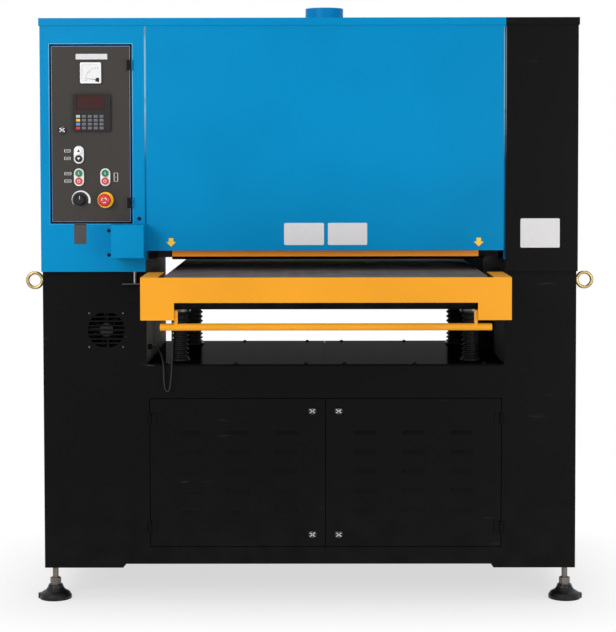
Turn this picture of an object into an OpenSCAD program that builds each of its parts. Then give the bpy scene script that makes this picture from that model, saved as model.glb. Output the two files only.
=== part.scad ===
// Wide belt sander: one sanding head over a rising feed table, in a steel cabinet.
// The front faces -Y, +Z is up, and the origin is on the floor under the middle of the machine.

/* [Cabinet] */
// Depth of the base and the columns
body_d = 700; // [680:5:800]
// Width of the left column
left_w = 322; // [312:1:360]
// Width of the right column
right_w = 223; // [200:1:260]
// Sheet thickness
sheet = 3; // [2:0.5:4]
// How far the upper cabinets stand in front of the base
upper_proud = 28; // [26:1:36]
// Underside of the columns above the floor
foot_h = 101; // [90:1:115]
// Extra height of the apron's lower edge
apron_lift = 12; // [6:1:20]
// Width of a column's low foot
foot_w = 254; // [240:1:300]
// Top of the deck under the table
deck_z = 739; // [725:1:750]
// Thickness of the deck plates
deck_t = 6; // [4:1:10]
// Joint between the lower columns and the upper cabinets
seam_z = 1029; // [1020:1:1036]
// Lower edge of the hood
hood_z = 1094; // [1090:1:1110]
// Height of the hood
hood_h = 715; // [640:5:820]
// Height of the roof's rim
roof_rim = 23; // [15:1:40]
// How far the roof's rim stands out
roof_over = 3; // [2:0.5:6]
// Outer diameter of the dust port
port_d = 125; // [100:5:160]
// Height of the dust port above the roof
port_h = 61; // [45:1:90]

/* [Doors] */
// Strip under the base doors
sill_h = 53; // [40:1:70]
// Strip over the base doors
head_h = 100; // [95:1:130]
// Gap round a door
door_gap = 2; // [1.5:0.5:3]
// Depth of a door's folded edge
door_flange = 20; // [14:1:26]
// Length of a hinge
hinge_l = 31; // [24:1:40]
// Hinge centre from the end of a door
hinge_inset = 62; // [40:1:90]
// Radius of a latch head
latch_r = 13; // [11:0.5:16]
// Latch centre from the door's free edge
latch_inset = 40; // [36:1:55]
// Louvre columns on a base door
louvre_cols = 3; // [2:1:3]
// Louvre rows on a base door
louvre_rows = 5; // [3:1:6]
// Length of a louvre
louvre_w = 66; // [50:1:90]
// Height of a louvre
louvre_h = 12; // [9:1:16]
// Distance between louvre columns
louvre_px = 151; // [120:1:160]
// Distance between louvre rows
louvre_pz = 60; // [40:1:65]

/* [Sanding head] */
// Width of the abrasive belt and of the feed belt
work_w = 950; // [850:5:1150]
// Room between the belt and a column
side_room = 80; // [75:1:110]
// Radius of the contact drum and the tension roller
drum_r = 80; // [70:1:85]
// Drum axis above the hood's lower edge
drum_rise = 44; // [40:1:60]
// Tension roller axis under the roof
tension_drop = 161; // [140:1:190]
// Thickness of the abrasive belt
abrasive_t = 1.6; // [1:0.1:2.5]
// Radius of the drum shaft
shaft_r = 25; // [20:1:30]
// Radius of the drum pulley
drum_pulley_r = 66; // [60:1:75]
// Radius of the motor pulley
motor_pulley_r = 100; // [80:1:105]
// Radius of the pressure rollers
press_r = 30; // [24:1:34]
// Pressure roller axis from the drum axis
press_y = 150; // [130:1:180]

/* [Feed table] */
// Opening between belt and drum at rest
gap_rest = 24; // [22:1:40]
// How far the table stands out at each end
overhang = 330; // [300:5:380]
// Radius of the table rollers
roller_r = 45; // [38:1:48]
// Thickness of the feed belt
feed_belt_t = 4; // [3:0.5:5]
// Radius of the lift screws
screw_r = 15; // [12:1:18]
// Lift screws inside the rails
screw_in = 21; // [18:1:40]
// Front lift screws behind the base's face
screw_front = 112; // [110:1:130]
// Rear lift screws from the base's back
screw_rear = 90; // [85:1:120]
// Ribs on a bellows
rib_n = 10; // [6:1:16]
// Depth of a rib
rib_d = 8; // [5:0.5:9]
// Outer radius of the rear bellows
bellows_r = 41; // [36:1:44]
// Outer radius of the front bellows
slim_r = 28; // [27:1:44]
// Height of the yellow cover's beam
cover_h = 75; // [65:1:85]
// Height of the cover's end legs
leg_h = 126; // [110:1:140]
// Width of the cover's end legs
leg_w = 98; // [90:1:110]
// Radius of the stop bar
stop_r = 10.5; // [8:0.5:13]

/* [Hidden] */
$fn = 64;

// Colours
blue = [0.03, 0.50, 0.72];
yellow = [0.95, 0.62, 0.12];
black = [0.09, 0.09, 0.10];
steel = [0.70, 0.70, 0.72];
panel_grey = [0.27, 0.26, 0.24];

// Clearances: a shaft in its bore, a piece that moves past another, and a loose fixed seat
fit = 0.05;
slip = 0.3;
past = 1;

// Main places
body_w = left_w + right_w + work_w + 2 * side_room;
roof_z = hood_z + hood_h;
x_l = -body_w / 2;
x_r = body_w / 2;
open_l = x_l + left_w;
open_r = x_r - right_w;
xc = (open_l + open_r) / 2;
y_f = -body_d / 2;
y_b = body_d / 2;
y_u = y_f - upper_proud;
apron_z = foot_h + apron_lift;
foot_slope = 9;
foot_l = x_l + foot_w;
foot_r = x_r - foot_w;
plate_t = 2 * sheet;
floor_z = apron_z + plate_t;
under_deck = deck_z - deck_t;

// Base doors
door_edge = 7;
base_open_x = [open_l + door_edge, open_r - door_edge];
base_open_z = [apron_z + sill_h, under_deck - head_h];
base_door_w = xc - door_gap / 2 - base_open_x[0] - door_gap;
base_door_h = base_open_z[1] - base_open_z[0] - 2 * door_gap;
return_d = door_flange + 2;
post_half = 20;
post_y = [y_f + door_flange + past, y_f + door_flange + past + 25];
latch_x = [xc - latch_inset - door_gap / 2, xc + latch_inset + door_gap / 2];
latch_z = [base_open_z[0] + latch_inset, base_open_z[1] - latch_inset];
tongue_t = 3;
tongue_w = 14;
latch_shank_r = 6;

// Hinges
hinge_r = 4.5;
hinge_pin_r = 2;
hinge_y = hinge_r + slip;
leaf_t = 3.5;
leaf_w = 19;
knuckle_l = hinge_l / 3 - 2 * slip;

// Control door and what is on it; the layout spreads with the height of the upper cabinets
panel_open_x = [x_l + 30, open_l - 39];
panel_open_z = [seam_z + 149, roof_z - 80];
panel_w = panel_open_x[1] - panel_open_x[0] - 2 * door_gap;
panel_h = panel_open_z[1] - panel_open_z[0] - 2 * door_gap;
panel_x = (panel_open_x[0] + panel_open_x[1]) / 2;
panel_z = panel_open_z[0] + door_gap;
rise = (roof_z - seam_z) / 780;
lock_at = [panel_x - 88, panel_z + 286 * rise];
ammeter_at = [panel_x + 1, panel_z + 461 * rise];
ammeter_w = 64;
readout_at = [panel_x + 4, panel_z + 339 * rise];
readout_w = 115;
lift_pair_at = [panel_x - 37, panel_z + 210 * rise];
feed_pair_at = [panel_x - 37, panel_z + 141 * rise];
drum_pair_at = [panel_x + 44, panel_z + 141 * rise];
dial_at = [panel_x - 34, panel_z + 71 * rise];
estop_at = [panel_x + 44, panel_z + 71 * rise];
button_r = 10.7;
button_step = 12;
bezel_t = 8;
bezel_half = 15;
estop_shank_r = 11;
estop_travel_gap = 7;
collar_t = 20;
collar_foot_t = 6;
collar_r = 24.5;
dial_shank_r = 3;

// Switchgear on the partition: mounting rail and a row of switches
din_l = 220;
din_w = 34;
din_t = 8;
switch_n = 4;
switch_pitch = 54;
switch_w = 46;
switch_h = 80;
switch_d = 75;

// Fan
fan_w = 120;
fan_d = 38;
fan_bore_r = 57;
fan_at = [x_l + 196, seam_z - 183];
fan_slots = 8;
fan_slot_pitch = 13.8;
fan_slot_h = 8.5;
fan_pin_r = 4;

// Feet and lifting eyes
foot_in = 29;
stud_r = 9;
pad_r = 50;
pad_h = 43;
lug_out = 43;
lug_r = 12;
anchor_r = 5.5;
foot_x = body_w / 2 - foot_in;
foot_y = body_d / 2 - foot_in;
eye_y = body_d / 2 - 50;
eye_z = seam_z - 31;
eye_ring_r = 23;
eye_wire_r = 5.5;
eye_out = 32;
eye_shank_r = 8;

// Sanding head
drum_z = hood_z + drum_rise;
tension_z = roof_z - tension_drop;
drum_half = work_w / 2 + 5;
plate_x = [open_l, open_l + 20];
bearing_l = 30;
hanger_x = [xc + drum_half + bearing_l + 7, xc + drum_half + bearing_l + 27];
beam_half = 55;
shaft_hole_r = shaft_r + 7;
yoke_rod_r = 20;
yoke_travel = 25;
yoke_bar_z = [tension_z - drum_r - 73, tension_z - drum_r - 33];
beam_z = [drum_z + drum_r + 0.14 * (tension_z - drum_z), yoke_bar_z[0] - yoke_travel - 20];
beam_wall = 10;
yoke_foot = beam_z[0] + 2 * beam_wall + yoke_travel + 5;
yoke_in = [xc - drum_half - 15, xc + drum_half + 15];
yoke_arm_t = 20;
tension_shaft_r = 20;
groove_n = 3;
groove_pitch = 17;
groove_w = 12.6;
groove_d = 11;
pulley_w = groove_n * groove_pitch + 4;
pulley_x = [open_l - 40 - pulley_w, open_l - 40];
drum_bottom = drum_z - drum_r - slip - abrasive_t;
press_z = drum_bottom - 2 + press_r;
press_shaft_r = 12;
press_block = [40, 56];
press_block_l = 44;

// Main motor
motor_rail_h = 30;
motor_axis_z = floor_z + motor_rail_h + 132;
motor_r = 105;
motor_shaft_r = 19;
motor_l = 400;
motor_in = 70;
motor_x = [open_l + motor_in, open_l + motor_in + motor_l];
motor_bore_l = 60;
motor_fin_a = 15;
motor_fin_t = 4;
motor_fin_h = 12;
motor_cowl_l = 80;
motor_cowl_t = 14;
motor_box = [120, 120, 60];
motor_box_in = 90;
motor_foot = [60, 216, 60];
motor_feet = [motor_x[0] + 40, motor_x[0] + 240];

// Feed table
belt_top = drum_bottom - gap_rest;
roller_z = belt_top - feed_belt_t - slip - roller_r;
belt_bottom = roller_z - roller_r - slip - feed_belt_t;
table_y = body_d / 2 + overhang;
roller_y = table_y - sheet - 8 - roller_r - feed_belt_t;
rail_in = work_w / 2 + 6;
rail_t = 12;
rail_out = rail_in + rail_t;
rail_top = belt_top - 26;
screw_x = rail_in - screw_in;
cross_y = [for (i = [-3 : 2 : 3]) i * (roller_y - 140) / 3];
rail_low = belt_top - 102;
bed_top = belt_top - feed_belt_t - slip;
table_shaft_r = 15;
cross_z = [belt_bottom - 30, belt_bottom - 8];
screw_y = [y_f + screw_front, y_b - screw_rear];
screw_at = [for (x = [xc - screw_x, xc + screw_x]) for (y = screw_y) [x, y]];
flange_z = cross_z[0] - 8;
cap_out = rail_out + 48.5;
cap_in = rail_out;
cap_d = 250;
stop_half = cap_out - 56;
pivot_y = -table_y + 18;
pivot_z = belt_top - 107;
pivot_r = 5;
stop_z = belt_top - 147;
hanger_t = 9;
feed_gear_l = 100;
feed_gear_half = 55;
feed_gear_z = [roller_z - 62, roller_z + 44];
feed_motor_r = 46;
feed_motor_l = 140;
feed_motor_drop = 8;
feed_cowl_l = 45;
feed_cowl_t = 4;
drive_end = 80;
limit_w = 46;
limit_y = [40, 140];
limit_h = 130;
limit_lever_r = 5;
limit_lever_l = 24;
gearbox_w = 90;
gearbox_h = 80;
sprocket_r = 45;
sprocket_t = 8;
sprocket_z = under_deck - gearbox_h - 14;
chain_w = 10;
switch_x = [xc - rail_out, xc - rail_out + 32];
switch_y = [y_f - 70, y_f - 20];
switch_z = [rail_low - 25, rail_low];

// Sensor box and rod
box_x = [open_l - 94, open_l + 5];
box_z = [seam_z + 48, seam_z + 148];
box_d = 105;
rod_r = 6;
rod_x = open_l - 33;
rod_y = (y_u + sheet + y_f) / 2;
bracket_z = [belt_top - 102, belt_top - 40];
bracket_out = open_l - 73;

// Switch cable: it leaves a gland in the column, hangs over the deck's edge and rises to the table's switch.
// Each knot has a place and a direction; smooth curves join the knots.
cable_r = 2.5;
gland_l = 14;
gland_r = 8;
cable_knots = [
    [[open_l + gland_l, y_f + 40, deck_z + 51], [60, 0, 0]],
    [[open_l + 52, y_f - 8, deck_z - 3], [8, -25, -90]],
    [[open_l + 66, y_f - 17, deck_z - 83], [45, 0, 0]],
    [[open_l + 83, y_f - 44, switch_z[0] - slip], [0, -20, 200]]];
cable_steps = 8;
function curve(a, b, t) = a[0] * (1 + 2 * t) * pow(1 - t, 2) + a[1] * t * pow(1 - t, 2)
    + b[0] * t * t * (3 - 2 * t) + b[1] * t * t * (t - 1);
cable_path = concat([cable_knots[0][0]], [for (k = [0 : 2]) for (i = [1 : cable_steps])
    curve(cable_knots[k], cable_knots[k + 1], i / cable_steps)]);

// A block between two limits on each axis
module block(x, y, z) {
    translate([x[0], y[0], z[0]]) cube([x[1] - x[0], y[1] - y[0], z[1] - z[0]]);
}

// Round bars along each axis, between two ends
module bar_x(r, x, y, z) {
    translate([x[0], y, z]) rotate([0, 90, 0]) cylinder(r = r, h = x[1] - x[0]);
}

module bar_y(r, x, y, z) {
    translate([x, y[1], z]) rotate([90, 0, 0]) cylinder(r = r, h = y[1] - y[0]);
}

module bar_z(r, x, y, z) {
    translate([x, y, z[0]]) cylinder(r = r, h = z[1] - z[0]);
}

// An outline in Y and Z carried along X, and one in X and Z carried along Y
module prism_x(x) {
    translate([x[0], 0, 0]) rotate([90, 0, 90]) linear_extrude(x[1] - x[0]) children();
}

module prism_y(y) {
    translate([0, y[1], 0]) rotate([90, 0, 0]) linear_extrude(y[1] - y[0]) children();
}

// Turned pieces: the outline gives radius and place along X or Y
module turned_x(y, z) {
    translate([0, y, z]) rotate([0, 90, 0]) rotate_extrude() children();
}

module turned_y(x, z) {
    translate([x, 0, z]) rotate([-90, 0, 0]) rotate_extrude() children();
}

module span(r, s) {
    translate([0, s[0]]) square([r, s[1] - s[0]]);
}

// Outline of a V-belt round two wheels of different size on one vertical line
arc_steps = 48;
function arc(r, z, from, to) = [for (i = [0 : arc_steps])
    let (a = from + (to - from) * i / arc_steps) [r * cos(a), z + r * sin(a)]];

module belt_outline(r_low, r_high, z_low, z_high) {
    lean = asin((r_low - r_high) / (z_high - z_low));
    polygon(concat(arc(r_high, z_high, lean, 180 - lean), arc(r_low, z_low, 180 - lean, 360 + lean)));
}

// Outline of a loop round two equal wheels on one vertical line
module loop_outline(r, z_low, z_high) {
    for (z = [z_low, z_high]) translate([0, z]) circle(r = r);
    translate([-r, z_low]) square([2 * r, z_high - z_low]);
}

// Rectangle with round corners, centred
module round_rect(w, h, r) {
    square([w - 2 * r, h], center = true);
    square([w, h - 2 * r], center = true);
    for (x = [r - w / 2, w / 2 - r]) for (y = [r - h / 2, h / 2 - r]) translate([x, y]) circle(r = r);
}

// A folded door: front face at y = 0, hinge side at x = 0
module pan_door(w, h) {
    difference() {
        cube([w, door_flange, h]);
        translate([sheet, sheet, sheet]) cube([w - 2 * sheet, door_flange, h - 2 * sheet]);
    }
    for (z = [hinge_inset, h - hinge_inset]) translate([0, 0, z]) door_knuckle();
}

// The door's half of a hinge: leaf, web and middle knuckle
module door_knuckle() {
    difference() {
        union() {
            translate([hinge_r + past, -leaf_t, -hinge_l / 2]) cube([leaf_w - hinge_r, leaf_t, hinge_l]);
            translate([-door_gap / 2, -leaf_t, -knuckle_l / 2]) cube([2 * hinge_r, leaf_t, knuckle_l]);
            bar_z(hinge_r, -door_gap / 2, -hinge_y, [-knuckle_l / 2, knuckle_l / 2]);
        }
        bar_z(hinge_pin_r + fit, -door_gap / 2, -hinge_y, [-hinge_l, hinge_l]);
    }
}

// The frame's half of the hinges on a door of height h: outer knuckles, webs and pin
module frame_hinges(h) {
    for (z = [hinge_inset, h - hinge_inset]) translate([0, 0, z]) {
        bar_z(hinge_pin_r, -door_gap / 2, -hinge_y, [-hinge_l / 2, hinge_l / 2]);
        for (side = [-1, 1]) translate([0, 0, side * hinge_l / 3]) {
            bar_z(hinge_r, -door_gap / 2, -hinge_y, [-hinge_l / 6, hinge_l / 6]);
            translate([-door_gap - 5, -leaf_t, -hinge_l / 6]) cube([5 + door_gap / 2, leaf_t, hinge_l / 3]);
        }
    }
}

// Folded edge round a door opening: w by h, going back from the sheet
module opening_return(w, h) {
    difference() {
        translate([-sheet, 0, -sheet]) cube([w + 2 * sheet, return_d, h + 2 * sheet]);
        translate([0, -past, 0]) cube([w, return_d + 2 * past, h]);
    }
}

// Pressed louvres on a sheet at y = 0, centred on x = 0, z = 0
module each_louvre(cols, rows) {
    for (i = [0 : cols - 1]) for (j = [0 : rows - 1])
        translate([(i - (cols - 1) / 2) * louvre_px - louvre_w / 2, 0, (j - (rows - 1) / 2) * louvre_pz])
            children();
}

module louvre_hood() {
    out = 6;
    wall = 1.5;
    prism_x([0, louvre_w])
        polygon([[0, louvre_h], [-out, wall], [-out, 0], [wall - out, 0], [0, louvre_h - 3]]);
    for (x = [0, louvre_w - wall]) prism_x([x, x + wall]) polygon([[0, louvre_h], [-out, 0], [0, 0]]);
}

module louvre_slot() {
    translate([3, -past, past]) cube([louvre_w - 6, sheet + 2 * past, louvre_h - 5]);
}

// Lower columns
module column_shell(x) {
    difference() {
        block(x, [y_f, y_b], [foot_h, seam_z]);
        block([x[0] + sheet, x[1] - sheet], [y_f + sheet, y_b - sheet], [foot_h + plate_t, seam_z + past]);
        for (sx = [-1, 1]) for (sy = [-1, 1]) {
            bar_z(stud_r + slip, sx * foot_x, sy * foot_y, [foot_h - past, foot_h + plate_t + past]);
            bar_x(eye_shank_r + slip, sx > 0 ? [x_r - 2 * sheet, x_r + past] : [x_l - past, x_l + 2 * sheet],
                sy * eye_y, eye_z);
        }
    }
}

module left_column() color(black) {
    difference() {
        column_shell([x_l, open_l]);
        translate([fan_at[0], 0, fan_at[1]]) prism_y([y_f - past, y_f + 2 * sheet]) fan_openings();
        bar_x(motor_shaft_r + 10, [open_l - 2 * sheet, open_l + past], 0, motor_axis_z);
        prism_y([y_f - past, y_b + past])
            polygon([[foot_l - foot_slope, foot_h - past], [open_l + past, foot_h - past],
                [open_l + past, apron_z], [foot_l, apron_z], [foot_l - foot_slope, foot_h]]);
    }
    prism_y([y_f, y_b]) polygon([[foot_l - foot_slope - plate_t, foot_h], [foot_l - foot_slope, foot_h],
        [foot_l, apron_z], [open_l, apron_z], [open_l, floor_z], [foot_l - plate_t, floor_z]]);
    bar_x(gland_r, [open_l, open_l + gland_l], cable_path[0][1], cable_path[0][2]);
}

module fan_openings() {
    for (i = [0 : fan_slots - 1]) intersection() {
        circle(r = fan_bore_r);
        translate([-fan_bore_r, (i - (fan_slots - 1) / 2) * fan_slot_pitch - fan_slot_h / 2])
            square([2 * fan_bore_r, fan_slot_h]);
    }
}

module right_column() color(black) column_shell([open_r, x_r]);

// Base cabinet between the columns: apron, floor, back, flanges under the deck and door post
module base_cabinet() color(black) {
    difference() {
        union() {
            block([open_l, open_r], [y_f, y_f + sheet], [apron_z, under_deck]);
            block([open_l, open_r], [y_b - sheet, y_b], [apron_z, under_deck]);
        }
        block(base_open_x, [y_f - past, y_f + 2 * sheet], base_open_z);
        translate([xc, y_b, (apron_z + under_deck) / 2]) rotate([0, 0, 180])
            each_louvre(2 * louvre_cols - 1, louvre_rows) louvre_slot();
    }
    translate([xc, y_b, (apron_z + under_deck) / 2]) rotate([0, 0, 180])
        each_louvre(2 * louvre_cols - 1, louvre_rows) louvre_hood();
    block([open_l, open_r], [y_f + sheet, y_b - sheet], [apron_z, floor_z]);
    for (y = [[y_f, y_f + sheet], [y_b - sheet, y_b]]) prism_y(y)
        polygon([[foot_r, foot_h], [open_r, foot_h], [open_r, apron_z], [foot_r - foot_slope, apron_z]]);
    for (y = [[y_f + sheet, y_f + 40], [y_b - 40, y_b - sheet]])
        block([open_l, open_r], y, [under_deck - sheet, under_deck]);
    block([xc - post_half, xc + post_half], post_y, [floor_z, under_deck - sheet]);
    translate([base_open_x[0], y_f, base_open_z[0]])
        opening_return(base_open_x[1] - base_open_x[0], base_open_z[1] - base_open_z[0]);
    translate([base_open_x[0] + door_gap, y_f, base_open_z[0] + door_gap]) frame_hinges(base_door_h);
    translate([base_open_x[1] - door_gap, y_f, base_open_z[0] + door_gap])
        mirror([1, 0, 0]) frame_hinges(base_door_h);
}

module deck_plates() color(black) difference() {
    for (x = [[open_l, xc - past / 2], [xc + past / 2, open_r]]) block(x, [y_f, y_b], [under_deck, deck_z]);
    for (p = screw_at) bar_z(screw_r + 5, p[0], p[1], [under_deck - past, deck_z + past]);
}

// Upper cabinets: closed shell with its roof rim
module cabinet_shell(x, rim_x) {
    difference() {
        union() {
            block(x, [y_u, y_b], [seam_z, roof_z]);
            block(rim_x, [y_u - roof_over, y_b + roof_over], [roof_z - roof_rim, roof_z]);
        }
        block([x[0] + sheet, x[1] - sheet], [y_u + sheet, y_b - sheet], [seam_z + sheet, roof_z - sheet]);
    }
}

module control_cabinet() color(blue) {
    well = motor_pulley_r + 20;
    difference() {
        cabinet_shell([x_l, open_l], [x_l - roof_over, open_l]);
        block(panel_open_x, [y_u - past, y_u + 2 * sheet], panel_open_z);
        block([pulley_x[0] - 15, pulley_x[1] + 15], [-well, well], [seam_z - past, seam_z + 2 * sheet]);
        bar_z(rod_r + 2, rod_x, rod_y, [seam_z - past, seam_z + 2 * sheet]);
        bar_x(shaft_hole_r, [open_l - 2 * sheet, open_l + past], 0, drum_z);
    }
    translate([panel_open_x[0], y_u, panel_open_z[0]])
        opening_return(panel_open_x[1] - panel_open_x[0], panel_open_z[1] - panel_open_z[0]);
    translate([panel_open_x[1] - door_gap, y_u, panel_z]) mirror([1, 0, 0]) frame_hinges(panel_h);
}

// Belt door opening in the right cabinet's side
belt_open_y = [90 - body_d / 2, body_d / 2 - 90];
belt_open_z = [hood_z - 34, roof_z - 50];
belt_door_w = belt_open_y[1] - belt_open_y[0] - 2 * door_gap;
belt_door_h = belt_open_z[1] - belt_open_z[0] - 2 * door_gap;

// Bow handle of the belt door, set in from the door's free edge
handle_in = 120;
handle_out = 30;
handle_h = 140;
handle_w = 12;
handle_bar = 10;

module right_cabinet() color(black) {
    loop_half = drum_r + 30;
    difference() {
        cabinet_shell([open_r, x_r], [open_r, x_r + roof_over]);
        block([open_r - past, open_r + 2 * sheet], [-loop_half, loop_half], belt_open_z);
        block([x_r - 2 * sheet, x_r + past], belt_open_y, belt_open_z);
    }
    translate([x_r, belt_open_y[0], belt_open_z[0]]) rotate([0, 0, 90])
        opening_return(belt_open_y[1] - belt_open_y[0], belt_open_z[1] - belt_open_z[0]);
    translate([x_r, belt_open_y[1] - door_gap, belt_open_z[0] + door_gap]) rotate([0, 0, 90])
        mirror([1, 0, 0]) frame_hinges(belt_door_h);
}

// Hood
trip_y = y_u + 35;
trip_z = hood_z + 10;
trip_r = 5;
side_return_d = 46;
side_return_drop = 28;

module hood_front() color(blue) {
    block([open_l, open_r], [y_u, y_u + sheet], [hood_z, roof_z - sheet]);
    block([open_l, open_r], [y_u + sheet, y_u + 25], [hood_z, hood_z + sheet]);
    difference() {
        for (x = [[open_l, open_l + sheet], [open_r - sheet, open_r]])
            block(x, [y_u, y_u + side_return_d], [hood_z - side_return_drop, roof_z - sheet]);
        bar_x(trip_r + fit, [open_l - past, open_r + past], trip_y, trip_z);
    }
}

port_y = 40;
port_wall = 2;
port_flange_t = 3;

module hood_roof() color(blue) {
    difference() {
        block([open_l, open_r], [y_u, y_b], [roof_z - sheet, roof_z]);
        bar_z(port_d / 2 - port_wall, xc, port_y, [roof_z - 2 * sheet, roof_z + past]);
    }
    block([open_l, open_r], [y_u - roof_over, y_u], [roof_z - roof_rim, roof_z]);
    block([open_l, open_r], [y_b, y_b + roof_over], [roof_z - roof_rim, roof_z]);
    block([open_l, open_r], [y_b - sheet, y_b], [hood_z, roof_z - sheet]);
}

module dust_port() color(blue) translate([xc, port_y, roof_z]) rotate_extrude() difference() {
    union() {
        square([port_d / 2, port_h]);
        square([port_d / 2 + 18, port_flange_t]);
    }
    translate([0, -past]) square([port_d / 2 - port_wall, port_h + 2 * past]);
}

module sensor_box() color(blue) {
    wall = 2;
    difference() {
        block(box_x, [y_u - box_d, y_u], box_z);
        block([box_x[0] + wall, box_x[1] - wall], [y_u - box_d + wall, y_u + past],
            [box_z[0] - past, box_z[1] - wall]);
    }
    block([box_x[0] - 12, box_x[0]], [y_u - wall, y_u], box_z);
}

module lifting_eyes() color([0.80, 0.65, 0.30]) for (sx = [-1, 1]) for (sy = [-1, 1])
    translate([sx * x_r, sy * eye_y, eye_z]) mirror([sx < 0 ? 1 : 0, 0, 0]) {
        translate([eye_out, 0, 0]) rotate([90, 0, 0]) rotate_extrude()
            translate([eye_ring_r, 0]) circle(r = eye_wire_r);
        turned_x(0, 0) union() {
            span(eye_shank_r, [-30, 1]);
            span(14, [-sheet - 12, -sheet]);
            span(16, [0, 5]);
            span(8.5, [5, eye_out - eye_ring_r]);
        }
    }

module levelling_feet() color(black) for (sx = [-1, 1]) for (sy = [-1, 1])
    translate([sx * foot_x, sy * foot_y, 0]) mirror([sx < 0 ? 1 : 0, 0, 0]) {
        difference() {
            union() {
                rotate_extrude() polygon([[0, 0], [pad_r, 0], [pad_r, 9], [pad_r - 6, 18], [31, 26], [25, 34],
                    [22, pad_h], [0, pad_h]]);
                bar_z(lug_r, lug_out, 0, [0, 15]);
            }
            bar_z(anchor_r, lug_out, 0, [-past, 40]);
        }
        translate([0, 0, pad_h]) cylinder(r = 17, h = 22, $fn = 6);
        bar_z(stud_r, 0, 0, [pad_h, foot_h + 45]);
        translate([0, 0, foot_h + plate_t]) cylinder(r = 17, h = 16, $fn = 6);
    }

// Cooling fan behind the grille
module fan_frame() color(black) translate([fan_at[0], y_f + sheet, fan_at[1]]) {
    difference() {
        block([-fan_w / 2, fan_w / 2], [0, fan_d], [-fan_w / 2, fan_w / 2]);
        bar_y(fan_bore_r, 0, [-past, fan_d + past], 0);
    }
    for (a = [0, 90]) rotate([0, a, 0])
        block([-fan_bore_r - past, fan_bore_r + past], [fan_d - 5, fan_d], [-4, 4]);
    bar_y(22, 0, [fan_d - 6, fan_d], 0);
    bar_y(fan_pin_r, 0, [10, fan_d - 5], 0);
}

module fan_rotor() color([0.2, 0.2, 0.21]) translate([fan_at[0], y_f + sheet, fan_at[1]]) difference() {
    union() {
        bar_y(21, 0, [3, fan_d - 7], 0);
        for (a = [0 : 360 / 7 : 359]) rotate([0, a, 0])
            translate([19, fan_d / 2 - 1, 0]) rotate([35, 0, 0]) block([0, 35], [-11, 11], [-1, 1]);
    }
    bar_y(fan_pin_r + fit, 0, [9, fan_d], 0);
}

// Sanding head
module head_beam() color(steel) {
    plate_half = press_y + 100;
    wall = beam_wall;
    difference() {
        union() {
            block(plate_x, [-plate_half, plate_half], [press_z - 22, tension_z + 50]);
            block([plate_x[1], hanger_x[1]], [-beam_half, beam_half], beam_z);
            block(hanger_x, [-beam_half, beam_half], [drum_z - 40, beam_z[0]]);
            bar_z(yoke_rod_r + 18, xc, 0, [beam_z[0] + wall, beam_z[1] + 15]);
        }
        difference() {
            block([plate_x[1], hanger_x[0]], [wall - beam_half, beam_half - wall],
                [beam_z[0] + wall, beam_z[1] - wall]);
            bar_z(yoke_rod_r + 18, xc, 0, beam_z);
        }
        bar_z(yoke_rod_r + fit, xc, 0, [beam_z[0] + 2 * wall, beam_z[1] + 20]);
        bar_x(shaft_hole_r, [plate_x[0] - past, plate_x[1] + past], 0, drum_z);
    }
}

module head_bearings() color([0.35, 0.37, 0.4]) {
    for (side = [0, 1]) difference() {
        turned_x(0, drum_z) union() {
            span(52, side == 0 ? [plate_x[1], plate_x[1] + 12] : [hanger_x[0] - 12, hanger_x[0]]);
            span(40, side == 0 ? [plate_x[1], plate_x[1] + bearing_l]
                : [hanger_x[0] - bearing_l, hanger_x[0]]);
        }
        bar_x(shaft_r + fit, [open_l, open_r], 0, drum_z);
    }
    for (sy = [-1, 1]) difference() {
        for (x = [[plate_x[1], plate_x[1] + press_block_l], [open_r - press_block_l, open_r]])
            block(x, [sy * press_y - press_block[0] / 2, sy * press_y + press_block[0] / 2],
                [press_z - 22, press_z - 22 + press_block[1]]);
        bar_x(press_shaft_r + fit, [open_l, open_r - 10], sy * press_y, press_z);
    }
}

module pulley_outline(r) {
    difference() {
        span(r, pulley_x);
        for (i = [0 : groove_n - 1])
            translate([r - groove_d, pulley_x[0] + (i + 0.5) * groove_pitch + 2 - groove_w / 2])
                square([groove_d + past, groove_w]);
    }
}

module contact_drum() color([0.15, 0.15, 0.16]) turned_x(0, drum_z) {
    span(shaft_r, [pulley_x[0] - 6, hanger_x[0] - past]);
    span(drum_r, [xc - drum_half, xc + drum_half]);
    pulley_outline(drum_pulley_r);
}

module abrasive_belt() color([0.45, 0.25, 0.16])
    prism_x([xc - work_w / 2, xc + work_w / 2]) difference() {
        loop_outline(drum_r + slip + abrasive_t, drum_z, tension_z);
        loop_outline(drum_r + slip, drum_z, tension_z);
    }

module tension_roller() color(steel) turned_x(0, tension_z) {
    span(drum_r, [xc - drum_half, xc + drum_half]);
    span(tension_shaft_r, [yoke_in[0] - yoke_arm_t, yoke_in[1] + yoke_arm_t]);
}

module roller_yoke() color([0.35, 0.37, 0.4]) difference() {
    union() {
        bar_z(yoke_rod_r, xc, 0, [yoke_foot, yoke_bar_z[0] + past]);
        block([yoke_in[0] - yoke_arm_t, yoke_in[1] + yoke_arm_t], [-40, 40], yoke_bar_z);
        for (x = [yoke_in[0] - yoke_arm_t, yoke_in[1]])
            block([x, x + yoke_arm_t], [-40, 40], [yoke_bar_z[0], tension_z + 40]);
    }
    bar_x(tension_shaft_r + fit, [open_l, open_r], 0, tension_z);
}

module pressure_roller(side) color([0.2, 0.2, 0.2]) turned_x(side * press_y, press_z) {
    span(press_r, [plate_x[1] + press_block_l + past, open_r - press_block_l - past]);
    span(press_shaft_r, [plate_x[1] + past, open_r - 12]);
}

module front_pressure_roller() pressure_roller(-1);

module rear_pressure_roller() pressure_roller(1);

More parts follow.
